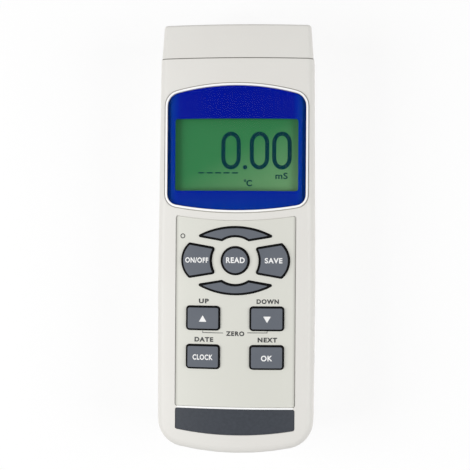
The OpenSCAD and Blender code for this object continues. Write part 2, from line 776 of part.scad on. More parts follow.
module keypad_web() {
    web_top = panel_top - 1;
    web_bottom = hold_y - first_row - key_pitch_y - key_h / 2 - 3;
    color([0.25, 0.26, 0.28]) translate([0, 0, main_board_top]) linear_extrude(web_t) difference() {
        translate([0, (web_top + web_bottom) / 2])
            polygon(rounded(2 * (side_reach + 1.2), web_top - web_bottom, 1.5));
        for (k = KEYS) key_plan(k, 0);
    }
}

module key(k) {
    color(key_color) union() {
        intersection() {
            under_crown(panel_sink - key_rise);
            translate([0, 0, stem_bottom]) linear_extrude(body_t) key_plan(k, key_gap);
        }
        intersection() {
            crown_layer(flange_top, flange_bottom);
            translate([0, 0, main_board_top]) linear_extrude(body_t) key_plan(k, -key_flange);
        }
    }
}

glass_z = main_board_top + backlight_t;
glass_top = glass_z + glass_t;
glass_w = view_w + 2.6;
glass_h = view_h + 4;
strip_w = 1.6;
frame_wall = 2;
frame_lip = 0.6;

module lcd_glass() {
    color([0.45, 0.62, 0.42]) translate([-glass_w / 2, view_y - glass_h / 2, glass_z])
        cube([glass_w, glass_h, glass_t]);
}

module lcd_frame() {
    w = glass_w + 2 * seat_gap;
    h = glass_h + 2 * seat_gap;
    color([0.2, 0.2, 0.22]) translate([0, view_y, main_board_top]) difference() {
        linear_extrude(backlight_t + glass_t + frame_lip)
            polygon(rounded(w + 2 * frame_wall, h + 2 * frame_wall, 1));
        translate([-w / 2, -h / 2, -over]) cube([w, h, backlight_t + glass_t + over]);
        translate([0, 0, -over]) linear_extrude(body_t) polygon(rounded(view_w + 0.8, view_h + 0.8, 0.5));
    }
}

module backlight() {
    h = glass_h - 2 * strip_w - 1;
    color([0.95, 0.97, 0.9]) translate([-glass_w / 2, view_y - h / 2, main_board_top])
        cube([glass_w, h, backlight_t]);
}

module contact_strips() {
    color([0.35, 0.35, 0.37]) for (s = [-1, 1])
        translate([-view_w / 2, view_y + s * (glass_h - strip_w) / 2 - strip_w / 2, main_board_top])
            cube([view_w, strip_w, backlight_t]);
}

module main_board() {
    color(board_color) difference() {
        prism(outline(wall + front_draft + board_edge_gap, main_board_end), main_board_bottom, main_board_top);
        at_case_screws() cylinder(r = case_boss_r + 0.4, h = body_t, $fn = 40);
        at_board_screws() cylinder(d = board_screw_d + 0.2, h = body_t, $fn = 24);
    }
}

module under_board(size, x, y) {
    translate([x - size.x / 2, y - size.y / 2, main_board_bottom - size.z]) cube(size);
}

// Each chip: its size, then its middle measured from the centre key.
processor = [[14, 14, 1.6], [-8, 12]];
memory = [[9, 6, 1.4], [-8, -6]];
display_driver = [[8, 5, 1.4], [10, 14]];
regulator = [[6, 5, 1.4], [-18, 22]];
chip_color = [0.15, 0.15, 0.16];

module main_chips() {
    color(chip_color) for (chip = [processor, memory, display_driver, regulator])
        under_board(chip[0], chip[1].x, hold_y + chip[1].y);
}

buzzer_d = 12;
buzzer_h = 7;
buzzer_hole_d = 2;

module buzzer() {
    color([0.1, 0.1, 0.1]) translate([buzzer_d, hold_y, main_board_bottom - buzzer_h]) difference() {
        cylinder(d = buzzer_d, h = buzzer_h, $fn = 48);
        translate([0, 0, -over]) cylinder(d = buzzer_hole_d, h = over + buzzer_hole_d, $fn = 24);
    }
}

crystal_size = [4.6, 11, 3.6];
crystal_r = 2.2;
crystal_at = [-22, 8];

module crystal() {
    color(metal_color) translate([crystal_at.x, hold_y + crystal_at.y, main_board_bottom - crystal_size.z])
        linear_extrude(crystal_size.z) polygon(rounded(crystal_size.x, crystal_size.y, crystal_r));
}

module main_board_screws() {
    color(metal_color) at_board_screws() translate([0, 0, main_board_bottom]) mirror([0, 0, 1])
        screw(board_screw_d, board_screw_l, board_head_d, board_head_h);
}

socket_l = 28;
socket_from_wall = 1.6;
socket_side = 1.2;
socket_back = 1;
sheet_t = 0.3;
card_gap = 0.5;

module card_socket() {
    w = slot_w + 2 * socket_side;
    w_in = slot_w - 2 * card_gap;
    y0 = foot_y + wall + socket_from_wall;
    color(metal_color) translate([0, y0, main_board_bottom - socket_h]) difference() {
        translate([-w / 2, 0, 0]) cube([w, socket_l, socket_h]);
        translate([-w_in / 2, -over, sheet_t]) cube([w_in, socket_l - socket_back, socket_h - 2 * sheet_t]);
    }
}

module input_board() {
    color(board_color) difference() {
        translate([-input_board_w / 2, input_y0, input_board_bottom])
            cube([input_board_w, input_y1 - input_y0, board_t]);
        at_input_screws() cylinder(d = board_screw_d + 0.2, h = body_t, $fn = 24);
    }
}

// Each chip: its size, then its nearest corner measured from the tripod insert.
converter = [[8, 10, 1.6], [-4, -3]];
amplifier = [[6, 5, 1.4], [6, 10]];

module input_chips() {
    color(chip_color) for (chip = [converter, amplifier])
        translate([chip[1].x, tripod_y + chip[1].y, input_board_top]) cube(chip[0]);
}

capacitor_d = 6.3;
capacitor_h = 8;
capacitor_x = [9, 16];
capacitor_inset = 10;

module capacitors() {
    color([0.2, 0.25, 0.35]) for (x = capacitor_x)
        translate([x, input_y0 + capacitor_inset, input_board_top])
            cylinder(d = capacitor_d, h = capacitor_h, $fn = 32);
}

module input_board_screws() {
    color(metal_color) at_input_screws() translate([0, 0, input_board_top])
        screw(board_screw_d, board_screw_l - 0.6, board_head_d, board_head_h);
}

connector_w = 16;
connector_t = 5;
connector_x = -19;
connector_inset = 9.5;

module board_connector() {
    color([0.12, 0.12, 0.13]) translate([connector_x, input_y0 + connector_inset, input_board_top])
        cube([connector_w, connector_t, main_board_bottom - input_board_top]);
}

module side_jack(y, w, l, bore, depth) {
    translate([jack_face_x - l, y - w / 2, jack_z - jack_h / 2]) difference() {
        cube([l, w, jack_h]);
        translate([l - depth, w / 2, jack_h / 2]) rotate([0, 90, 0]) cylinder(d = bore, h = depth + over, $fn = 48);
    }
}

power_w = 8;
power_l = 13;
power_bore_l = 9.5;
power_pin_d = 2;
serial_w = 6.4;
serial_l = 14;
serial_bore_l = 12;
switch_back = 8;
switch_size = [3.6, 6];
switch_below = 2.6;

module power_jack() {
    color([0.1, 0.1, 0.11]) side_jack(power_y, power_w, power_l, power_bore_d, power_bore_l);
}

module power_jack_pin() {
    color(metal_color) translate([jack_face_x - power_bore_l, power_y, jack_z]) rotate([0, 90, 0])
        cylinder(d = power_pin_d, h = power_bore_l - 1, $fn = 32);
}

module serial_jack() {
    color([0.1, 0.1, 0.11]) side_jack(serial_y, serial_w, serial_l, serial_bore_d, serial_bore_l);
}

module reset_switch() {
    color([0.1, 0.1, 0.11])
        under_board([switch_size.x, switch_size.y, jack_h / 2 + switch_below], jack_face_x - switch_back, reset_y);
}

reset_sink = 0.8;
reset_flange = 0.8;
reset_flange_t = 1;

module reset_button() {
    face = half_w - front_draft - reset_sink;
    start = jack_face_x - switch_back + switch_size.x / 2 + seat_gap + reset_travel;
    color([0.7, 0.2, 0.2]) translate([start, reset_y, jack_z]) rotate([0, 90, 0])
        union() {
            cylinder(d = reset_d, h = face - start, $fn = 32);
            translate([0, 0, inner_half_w - cover_gap - reset_flange_t - start])
                cylinder(d = reset_d + 2 * reset_flange, h = reset_flange_t, $fn = 32);
        }
}

module probe_socket_shell() {
    color(metal_color) translate([0, 0, probe_z]) difference() {
        union() {
            translate([0, insert_back, 0]) rotate([-90, 0, 0])
                cylinder(r = probe_barrel_r - slip, h = probe_face - insert_back, $fn = 64);
            translate([0, probe_face - probe_flange_t, 0]) rotate([-90, 0, 0])
                cylinder(r = probe_barrel_r + probe_flange - seat_gap, h = probe_flange_t, $fn = 64);
        }
        translate([0, insert_back - over, 0]) rotate([-90, 0, 0])
            cylinder(d = insert_d, h = body_l, $fn = 64);
        translate([0, probe_face - probe_bore_l, 0]) rotate([-90, 0, 0])
            cylinder(d = probe_bore_d, h = probe_bore_l + over, $fn = 64);
    }
}

module at_contacts() {
    for (i = [0:4]) let (a = 90 + 72 * i)
        translate([contact_ring_r * cos(a), 0, probe_z + contact_ring_r * sin(a)]) children();
}

module probe_socket_insert() {
    color([0.12, 0.12, 0.13]) difference() {
        translate([0, insert_back, probe_z]) rotate([-90, 0, 0])
            cylinder(d = insert_d - 2 * slip, h = insert_t, $fn = 64);
        at_contacts() translate([0, insert_back - over, 0]) rotate([-90, 0, 0])
            cylinder(d = contact_d, h = insert_t + 2 * over, $fn = 24);
    }
}

contact_bore_d = contact_d - 0.5;
contact_web = 1;

module probe_socket_contacts() {
    color([0.85, 0.72, 0.4]) at_contacts() difference() {
        translate([0, insert_back - contact_tail, 0]) rotate([-90, 0, 0])
            cylinder(d = contact_d, h = insert_t + contact_tail, $fn = 24);
        translate([0, insert_back + contact_web, 0]) rotate([-90, 0, 0])
            cylinder(d = contact_bore_d, h = insert_t, $fn = 24);
    }
}

nut_wall = 2.4;

module probe_socket_nut() {
    y1 = head_y - cap_end_wall;
    color(metal_color) translate([0, y1 - nut_t, probe_z]) rotate([-90, 0, 0]) difference() {
        cylinder(r = probe_barrel_r + nut_wall, h = nut_t, $fn = 6);
        translate([0, 0, -over]) cylinder(r = probe_barrel_r, h = nut_t + 2 * over, $fn = 64);
    }
}

lead_d = 1.1;
lead_aside = 3.5;
lead_bend_r = 3;
lead_y = input_y1 - 3;

// Section of a lead at a place in the YZ plane, where the lead runs at an angle.
function lead_ring(x, p, a) =
    [for (i = [0:7]) let (u = lead_d / 2 * cos(45 * i), v = lead_d / 2 * sin(45 * i))
        [x + u, p.x - v * sin(a), p.y + v * cos(a)]];

module probe_leads() {
    color([0.3, 0.3, 0.6]) for (i = [0:4])
        let (a = 90 + 72 * i, x = contact_ring_r * cos(a), z = probe_z + contact_ring_r * sin(a),
             bend = [lead_y + lead_bend_r, z - lead_bend_r])
        loft(concat(
            [lead_ring(x, [lead_y, input_board_top], 90)],
            [for (b = [180:-22.5:90]) lead_ring(x, bend + lead_bend_r * [cos(b), sin(b)], b - 90)],
            [lead_ring(x, [insert_back - contact_tail, z], 0)]));
}

function cell_y(i) = bay_y0 + cell_gap + cell_d / 2 + (i - 1) * (cell_d + cell_gap);
function cell_side(i) = i % 2 == 1 ? 1 : -1;
button_l = 1.2;

module at_cell(i) {
    translate([0, cell_y(i), cell_z]) rotate([0, 90 * cell_side(i), 0])
        translate([0, 0, bay_half_w - plate_t]) children();
}

module cell(i) {
    color([0.2, 0.3, 0.5]) at_cell(i) union() {
        translate([0, 0, -cell_l]) cylinder(d = cell_d, h = cell_l - button_l, $fn = 64);
        translate([0, 0, -button_l - over]) cylinder(d = 5.4, h = button_l + over, $fn = 32);
    }
}

plate_h = 10;
lead_foot_z = cell_z + plate_h / 2 - 0.4;

// One plate bridges each pair of neighbouring cells, and the two end plates carry a tag each.
module contact_plates() {
    color(metal_color) {
        for (i = [1:2:5]) plate(1, cell_y(i), cell_y(i + 1));
        for (i = [2:2:4]) plate(-1, cell_y(i), cell_y(i + 1));
        for (i = [1, 6]) plate(-1, cell_y(i), cell_y(i));
    }
}

module plate(s, y0, y1) {
    translate([s > 0 ? bay_half_w - plate_t : -bay_half_w, y0 - 5, cell_z - plate_h / 2])
        cube([plate_t, y1 - y0 + 10, plate_h]);
}

spring_wire = 0.8;
module contact_springs() {
    turns = 3;
    step = (spring_l - spring_wire) / (turns - 1);
    color(metal_color) for (i = [1:6]) at_cell(i) translate([0, 0, -cell_l - spring_l])
        rotate_extrude($fn = 40) for (t = [0:turns - 1])
            translate([4 - t * 0.3, spring_wire / 2 + t * step]) circle(d = spring_wire, $fn = 16);
}

module at_battery_leads() {
    for (i = [1, 6])
        translate([-bay_half_w + plate_t + lead_d / 2, cell_y(i) - lead_aside, lead_foot_z]) children();
}

module battery_leads() {
    color([0.7, 0.15, 0.15]) at_battery_leads()
        cylinder(d = lead_d, h = main_board_bottom - lead_foot_z, $fn = 20);
}

cover_head_z = 1.4;
cover_head_h = 1.2;
cover_screw_l = 7;
grip_count = 5;
grip_from_end = 8;
grip_pitch = 2.4;
grip_l = 20;
grip_w = 1.2;
grip_depth = 0.5;
module battery_cover() {
    color(shell_color) difference() {
        linear_extrude(cover_t) cover_plan(0);
        at_cover_screws() {
            translate([0, 0, -over]) cylinder(d = case_head_d + 0.4, h = over + cover_head_z, $fn = 40);
            translate([0, 0, -over]) cylinder(d = case_screw_d + 0.2, h = cover_t + 2 * over, $fn = 32);
        }
        for (i = [0:grip_count - 1])
            translate([-grip_l / 2, bay_mid - cover_l / 2 + grip_from_end + grip_pitch * i, -over])
                cube([grip_l, grip_w, over + grip_depth]);
    }
}

module cover_screws() {
    color(metal_color) at_cover_screws() translate([0, 0, cover_head_z]) mirror([0, 0, 1])
        screw(case_screw_d, cover_screw_l, case_head_d, cover_head_h);
}

module case_screws() {
    color(metal_color) at_case_screws() translate([0, 0, case_seat_z]) mirror([0, 0, 1])
        screw(case_screw_d, case_screw_l, case_head_d, case_head_h);
}

module tilt_stand() {
    color(shell_color) union() {
        translate([0, 0, stand_z]) linear_extrude(stand_t) difference() {
            stand_plan(0);
            translate([-stand_w, pivot_y]) square([2 * stand_w, stand_w]);
        }
        at_sides(stand_w / 2 - stand_leg_w / 2, pivot_y)
            translate([-stand_leg_w / 2, 0, pivot_z]) rotate([0, 90, 0])
                cylinder(d = stand_t, h = stand_leg_w, $fn = 40);
        at_sides(stand_w / 2 + pivot_l / 2 - over / 2, pivot_y)
            translate([-(pivot_l + over) / 2, 0, pivot_z]) rotate([0, 90, 0])
                cylinder(d = pivot_d, h = pivot_l + over, $fn = 32);
    }
}

module tripod_insert() {
    color([0.8, 0.65, 0.35]) translate([0, tripod_y, 0.3]) difference() {
        cylinder(d = tripod_d, h = tripod_bore_l, $fn = 48);
        translate([0, 0, -over]) cylinder(d = tripod_bore_d, h = tripod_bore_l + 2 * over, $fn = 48);
    }
}

front_shell();
rear_shell();
end_cap();
window_lens();
window_border();
key_panel();
name_bar();
keypad_web();
key("hold");  // hold_key
key("power");  // power_key
key("record");  // record_key
key("upper");  // upper_key
key("lower");  // lower_key
key("up");  // up_key
key("down");  // down_key
key("time");  // time_key
key("enter");  // enter_key
lcd_glass();
lcd_frame();
backlight();
contact_strips();
main_board();
main_chips();
buzzer();
crystal();
main_board_screws();
card_socket();
input_board();
input_chips();
capacitors();
input_board_screws();
board_connector();
power_jack();
power_jack_pin();
reset_switch();
reset_button();
serial_jack();
probe_socket_shell();
probe_socket_insert();
probe_socket_contacts();
probe_socket_nut();
probe_leads();
battery_leads();
cell(1);  // cell_1
cell(2);  // cell_2
cell(3);  // cell_3
cell(4);  // cell_4
cell(5);  // cell_5
cell(6);  // cell_6
contact_plates();
contact_springs();
battery_cover();
cover_screws();
case_screws();
tilt_stand();
tripod_insert();
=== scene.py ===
# Looks for a handheld water quality meter, lying on its back with the display facing up.
# The housing is moulded ABS, the window clear acrylic, the keys silicone rubber and the panel a
# printed film.
import json
import math

import bmesh
import bpy
from mathutils import Matrix, Vector
from mathutils.geometry import delaunay_2d_cdt

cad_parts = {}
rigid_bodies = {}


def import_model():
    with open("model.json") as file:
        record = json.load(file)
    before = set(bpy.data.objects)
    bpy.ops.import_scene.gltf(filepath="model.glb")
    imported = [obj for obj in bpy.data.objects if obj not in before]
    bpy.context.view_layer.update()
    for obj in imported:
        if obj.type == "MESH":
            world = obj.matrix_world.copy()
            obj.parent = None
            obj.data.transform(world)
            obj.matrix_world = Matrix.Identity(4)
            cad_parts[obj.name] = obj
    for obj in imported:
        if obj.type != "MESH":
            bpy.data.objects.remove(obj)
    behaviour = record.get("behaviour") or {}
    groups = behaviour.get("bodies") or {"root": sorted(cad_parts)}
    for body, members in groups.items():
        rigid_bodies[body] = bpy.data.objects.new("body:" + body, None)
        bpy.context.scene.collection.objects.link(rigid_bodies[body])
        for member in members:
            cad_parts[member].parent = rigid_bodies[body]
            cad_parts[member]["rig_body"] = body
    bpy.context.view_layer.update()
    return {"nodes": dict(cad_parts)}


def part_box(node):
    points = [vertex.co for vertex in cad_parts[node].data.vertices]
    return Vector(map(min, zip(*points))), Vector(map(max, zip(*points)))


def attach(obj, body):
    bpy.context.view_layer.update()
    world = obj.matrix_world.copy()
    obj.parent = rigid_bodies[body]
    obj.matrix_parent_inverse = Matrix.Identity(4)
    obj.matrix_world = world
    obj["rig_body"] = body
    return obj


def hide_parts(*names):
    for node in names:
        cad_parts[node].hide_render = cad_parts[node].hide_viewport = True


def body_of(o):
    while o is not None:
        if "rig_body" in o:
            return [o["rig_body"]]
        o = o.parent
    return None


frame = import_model()
MM = 0.001


# Studio: a camera straight over the face, turned a little, as on a copy stand.
# A pale sweep lies under the meter, with two broad soft lamps well to its sides and an even
# white room.
def linear(code):
    """Linear colour of an sRGB hex code."""
    parts = [int(code[i:i + 2], 16) / 255 for i in (1, 3, 5)]
    return [p / 12.92 if p <= 0.04045 else ((p + 0.055) / 1.055) ** 2.4 for p in parts] + [1]


def add(tree, kind, inputs=None, **settings):
    """Adds a node; an input that is a socket is linked, and any other is set."""
    node = tree.nodes.new(kind)
    for name, value in settings.items():
        setattr(node, name, value)
    for name, value in (inputs or {}).items():
        if isinstance(value, bpy.types.NodeSocket):
            tree.links.new(value, node.inputs[name])
        else:
            node.inputs[name].default_value = value
    return node


def showing(tree):
    """A socket that is 1 where the backdrop shows: straight, in a gloss or through a glass."""
    path = add(tree, "ShaderNodeLightPath").outputs
    seen = add(tree, "ShaderNodeMath", {0: path["Is Camera Ray"], 1: path["Is Glossy Ray"]},
               operation="MAXIMUM")
    seen = add(tree, "ShaderNodeMath", {0: seen.outputs[0], 1: path["Is Transmission Ray"]},
               operation="MAXIMUM")
    return seen.outputs[0]


scene = bpy.context.scene
scene.view_settings.view_transform = "Standard"
turn, roll, distance = math.radians(-4.14), math.radians(-0.396), 0.4
aim = Vector((0, 0.0059, 0.0439))
level = Vector((math.cos(turn), 0, math.sin(turn)))
upright = Vector((0, 1, 0))
right = math.cos(roll) * level - math.sin(roll) * upright
up = math.sin(roll) * level + math.cos(roll) * upright
back = right.cross(up)
lens = bpy.data.cameras.new("copy_stand_camera")
lens.lens = 72.69
lens.sensor_width = 36
lens.shift_x, lens.shift_y = -0.0009, -0.0211
lens.clip_start, lens.clip_end = 0.01, 10
camera = bpy.data.objects.new("copy_stand_camera", lens)
scene.collection.objects.link(camera)
camera.location = aim + back * distance
camera.rotation_euler = Matrix((right, up, back)).transposed().to_euler()
scene.camera = camera

for name, place, size, power in (
        ("soft_box_left", (-0.56, -0.08, 0.52), 0.4, 3.5),
        ("soft_box_right", (0.62, -0.05, 0.55), 0.4, 3.1)):
    lamp = bpy.data.lights.new(name, "AREA")
    lamp.shape, lamp.size, lamp.energy = "SQUARE", size, power
    stand = bpy.data.objects.new(name, lamp)
    stand.location = place
    stand.rotation_euler = (Vector(place) - aim).to_track_quat("Z", "Y").to_euler()
    scene.collection.objects.link(stand)

# The room lights the meter at a third of the white that it shows.
room_light = 0.33
room = bpy.data.worlds.new("white_room")
scene.world = room
room.use_nodes = True
tree = room.node_tree
tree.nodes.clear()
strength = add(tree, "ShaderNodeMapRange", {"Value": showing(tree), "To Min": room_light,
                                            "To Max": 1.0})
air = add(tree, "ShaderNodeBackground", {"Color": linear("#FFFFFF"),
                                         "Strength": strength.outputs[0]})
add(tree, "ShaderNodeOutputWorld", {"Surface": air.outputs[0]})

# The paper shows mostly its own white, and the rest of it takes the meter's shadow.
sweep = bpy.data.meshes.new("sweep")
reach, below, own_white = 6, 0.0002, 0.84
sweep.from_pydata([(-reach, -reach, 0), (reach, -reach, 0), (reach, reach, 0), (-reach, reach, 0)],
                  [], [(0, 1, 2, 3)])
floor = bpy.data.objects.new("sweep", sweep)
floor.location.z = -below
scene.collection.objects.link(floor)
paper = bpy.data.materials.new("white_sweep_paper")
paper.use_nodes = True
tree = paper.node_tree
matt = tree.nodes["Principled BSDF"]
matt.inputs["Base Color"].default_value = linear("#FCFCFC")
matt.inputs["Roughness"].default_value = 0.9
matt.inputs["Specular IOR Level"].default_value = 0
share = add(tree, "ShaderNodeMath", {0: showing(tree), 1: own_white}, operation="MULTIPLY")
white = add(tree, "ShaderNodeEmission", {"Color": linear("#FFFFFF"), "Strength": 1.0})
both = add(tree, "ShaderNodeMixShader", {0: share.outputs[0], 1: matt.outputs[0],
                                         2: white.outputs[0]})
tree.links.new(both.outputs[0], tree.nodes["Material Output"].inputs["Surface"])
floor.data.materials.append(paper)


# Housing: a front and a rear shell and the cap at the probe end, deep off-white ABS mouldings.
# Their tools are spark eroded, so the skin has a fine even grain and a low sheen.
def surface(name, pale, deep, patch, grain, height, rough, spread=0.04, **shader):
    """A material that drifts between two colours over patches, with a raised grain; in mm."""
    material = bpy.data.materials.new(name)
    material.use_nodes = True
    tree = material.node_tree
    shade = tree.nodes["Principled BSDF"]
    place = add(tree, "ShaderNodeTexCoord").outputs["Object"]
    drift = add(tree, "ShaderNodeTexNoise", {"Vector": place, "Scale": 1 / (patch * MM),
                                             "Detail": 3.0})
    tint = add(tree, "ShaderNodeMix", {0: drift.outputs["Fac"], 6: linear(pale), 7: linear(deep)},
               data_type="RGBA")
    speck = add(tree, "ShaderNodeTexNoise", {"Vector": place, "Scale": 1 / (grain * MM),
                                             "Detail": 2.0})
    sheen = add(tree, "ShaderNodeMapRange", {"Value": speck.outputs["Fac"],
                                             "To Min": rough - spread, "To Max": rough + spread})
    relief = add(tree, "ShaderNodeBump", {"Height": speck.outputs["Fac"], "Distance": height * MM})
    tree.links.new(tint.outputs[2], shade.inputs["Base Color"])
    tree.links.new(sheen.outputs[0], shade.inputs["Roughness"])
    tree.links.new(relief.outputs[0], shade.inputs["Normal"])
    for socket, value in shader.items():
        shade.inputs[socket.replace("_", " ")].default_value = value
    return material


def coordinates(material):
    """The node tree of a material, and the x, y and z of a place on its piece."""
    tree = material.node_tree
    place = add(tree, "ShaderNodeTexCoord").outputs["Object"]
    return tree, add(tree, "ShaderNodeSeparateXYZ", {0: place}).outputs


def overlaid(material, amount, code):
    """Lays another colour over a material's own, as far as a socket from 0 to 1 says."""
    tree = material.node_tree
    shade = tree.nodes["Principled BSDF"]
    own = shade.inputs["Base Color"].links[0].from_socket
    mixed = add(tree, "ShaderNodeMix", {0: amount, 6: own, 7: linear(code)}, data_type="RGBA")
    tree.links.new(mixed.outputs[2], shade.inputs["Base Color"])


def joined(node):
    """The mesh of a CAD node as a form whose loose triangles are joined."""
    form = bmesh.new()
    form.from_mesh(frame["nodes"][node].data)
    bmesh.ops.remove_doubles(form, verts=form.verts, dist=0.002 * MM)
    return form


def welded(node, material, angle=28, round_off=0):
    """A joined copy of a CAD node, shaded as the curves it stands for, with its edges eased by
    round_off in millimetres."""
    source = frame["nodes"][node]
    form = joined(node)
    if round_off:
        bmesh.ops.dissolve_limit(form, angle_limit=math.radians(0.2), verts=form.verts,
                                 edges=form.edges)
    mesh = bpy.data.meshes.new(node + "_skin")
    form.to_mesh(mesh)
    form.free()
    if "custom_normal" in mesh.attributes:
        mesh.attributes.remove(mesh.attributes["custom_normal"])
    mesh.materials.clear()
    mesh.materials.append(material)
    mesh.shade_smooth()
    mesh.set_sharp_from_angle(angle=math.radians(angle))
    piece = bpy.data.objects.new(node + "_skin", mesh)
    scene.collection.objects.link(piece)
    if round_off:
        eased = piece.modifiers.new("eased_edges", "BEVEL")
        eased.width = round_off * MM
        eased.segments = 3
        eased.limit_method = "ANGLE"
        eased.angle_limit = math.radians(40)
        eased.miter_outer = "MITER_ARC"
        closed = piece.modifiers.new("closed_slivers", "WELD")
        closed.merge_threshold = 0.03 * MM
    even = piece.modifiers.new("even_shading", "WEIGHTED_NORMAL")
    even.keep_sharp = True
    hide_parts(node)
    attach(piece, body_of(source)[0])
    return piece


# Grain 0.5 mm across breaks up the lamps' sheen; the slow drift is the tone of large mouldings.
moulded_abs = surface("moulded_abs", "#E2E1DC", "#DEDBD6", 30, 0.5, 0.012, 0.5, IOR=1.54)
# The open seam at the end cap and the shells' parting line are darkened into fine grey lines:
# painted shade, where these joints would lie in shadow.
seam_y, cap_y, parting_z = 76.5, 76.4, 24
tree, axes = coordinates(moulded_abs)
joint_shade_lines = []
for axis, middle, core, fade, joint_shade in ((1, seam_y, 0.19, 0.24, 1.0),
                                       (2, parting_z, 0.09, 0.15, 0.8)):
    off = add(tree, "ShaderNodeMath", {0: axes[axis], 1: middle * MM}, operation="SUBTRACT")
    off = add(tree, "ShaderNodeMath", {0: off.outputs[0]}, operation="ABSOLUTE")
    line = add(tree, "ShaderNodeMapRange", {"Value": off.outputs[0], "From Min": core * MM,
                                            "From Max": fade * MM, "To Min": joint_shade, "To Max": 0.0})
    joint_shade_lines.append(line.outputs[0])
shells = add(tree, "ShaderNodeMath", {0: axes[1], 1: cap_y * MM}, operation="LESS_THAN")
parting = add(tree, "ShaderNodeMath", {0: joint_shade_lines[1], 1: shells.outputs[0]}, operation="MULTIPLY")
joint_shade = add(tree, "ShaderNodeMath", {0: joint_shade_lines[0], 1: parting.outputs[0]}, operation="MAXIMUM")
overlaid(moulded_abs, joint_shade.outputs[0], "#8E8B84")
for node in ("front_shell", "rear_shell", "end_cap"):
    welded(node, moulded_abs)


# Rim of the window: a low moulded bead with a white enamel line printed all round its crest.
# The same white line is printed on the ridge between the key panel and the dark bar.
def crown(x):
    """Height of the crowned front face at a place across it, in millimetres."""
    middle, radius = 43.9, 180
    return middle - radius + math.sqrt(radius ** 2 - x * x)


def rims(node):
    """Loops of points round the upper face of a CAD node, in millimetres, the outermost first."""
    form = joined(node)
    form.normal_update()
    links = {}
    for edge in form.edges:
        if sum(face.normal.z > 0.8 for face in edge.link_faces) == 1:
            for a, b in (edge.verts, reversed(edge.verts)):
                links.setdefault(a, []).append(b)
    loops = []
    while links:
        here, loop = next(iter(links)), []
        while here is not None:
            loop.append((here.co.x / MM, here.co.y / MM))
            here = next((v for v in links.pop(here) if v in links), None)
        area = sum(a[0] * b[1] - a[1] * b[0] for a, b in zip(loop, loop[1:] + loop[:1])) / 2
        loops.append((abs(area), loop if area > 0 else loop[::-1]))
    form.free()
    return [loop for area, loop in sorted(loops, reverse=True)]


def band(form, loop, section, height):
    """Adds a closed band round a loop; its section lists (distance outwards, height) corners."""
    rings, sharpest = [], 0.6
    for i, (x, y) in enumerate(loop):
        (ax, ay), (bx, by) = loop[i - 1], loop[(i + 1) % len(loop)]
        before, after = Vector((x - ax, y - ay)).normalized(), Vector((bx - x, by - y)).normalized()
        along = (before + after).normalized()
        out = Vector((along.y, -along.x)) / max(along.dot(after), sharpest)
        rings.append([form.verts.new((x + out.x * d, y + out.y * d, height(x + out.x * d) + h))
                      for d, h in section])
    for ring, other in zip(rings, rings[1:] + rings[:1]):
        for j in range(len(section)):
            form.faces.new((ring[j - 1], ring[j], other[j], other[j - 1]))


def tile(form, points, low, high, height):
    """Adds a thin plate with a convex outline that follows the surface below it."""
    lower = [form.verts.new((x, y, height(x) + low)) for x, y in points]
    upper = [form.verts.new((x, y, height(x) + high)) for x, y in points]
    form.faces.new(lower[::-1])
    form.faces.new(upper)
    for i in range(len(points)):
        form.faces.new((lower[i - 1], lower[i], upper[i], upper[i - 1]))


def strip(form, x0, x1, y0, y1, low, high, height):
    """Adds a thin straight plate that runs across the face and follows its curve."""
    parts = max(1, round(x1 - x0))
    rings = []
    for i in range(parts + 1):
        x = x0 + (x1 - x0) * i / parts
        rings.append([form.verts.new((x, y, height(x) + h))
                      for y, h in ((y0, low), (y1, low), (y1, high), (y0, high))])
    for ring, other in zip(rings, rings[1:]):
        for j in range(4):
            form.faces.new((ring[j - 1], ring[j], other[j], other[j - 1]))
    form.faces.new(rings[0])
    form.faces.new(rings[-1][::-1])


def riding(name, mesh, slot, body, *nodes):
    """Makes a finished mesh a piece that rides on a body, and may stand for CAD nodes."""
    mesh.shade_smooth()
    mesh.set_sharp_from_angle(angle=math.radians(30))
    piece = bpy.data.objects.new(name, mesh)
    scene.collection.objects.link(piece)
    if nodes:
        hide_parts(*nodes)
    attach(piece, body)
    return piece


def made(name, form, material, slot, body, *nodes):
    """Turns a form in millimetres into a piece of one material."""
    bmesh.ops.scale(form, vec=(MM, MM, MM), verts=form.verts)
    bmesh.ops.recalc_face_normals(form, faces=form.faces)
    mesh = bpy.data.meshes.new(name)
    form.to_mesh(mesh)
    form.free()
    mesh.materials.append(material)
    return riding(name, mesh, slot, body, *nodes)


# Enamel ink is whiter and a little glossier than the ABS, so the line stands out as in the
# photograph. Sections list the distance outside the lens and the height over the face.
white_enamel = surface("white_enamel_ink", "#FEFEFE", "#FAFAFA", 12, 0.4, 0.003, 0.35, IOR=1.5)
lens_edge = rims("window_lens")[0]
form = bmesh.new()
band(form, lens_edge, [(0.06, 0.02), (0.06, 0.53), (0.84, 0.53), (0.84, 0.45), (0.2, 0.45)], crown)
strip(form, -24.6, 24.6, -71.72, -70.98, -0.01, 0.02, crown)
made("white_lines", form, white_enamel, "panel_print", "housing")
# A grey band lies in the groove outside the bead and draws it as a thin grey line: painted shade of
# the groove.
groove_shade_grey = surface("groove_shade_grey", "#A9A69E", "#9D9A92", 2, 0.2, 0.01, 0.9, IOR=1.4)
form = bmesh.new()
band(form, lens_edge, [(0.98, -0.36), (0.98, -0.31), (1.3, -0.31), (1.3, -0.36)], crown)
made("rim_groove_shade", form, groove_shade_grey, "panel_print", "housing")
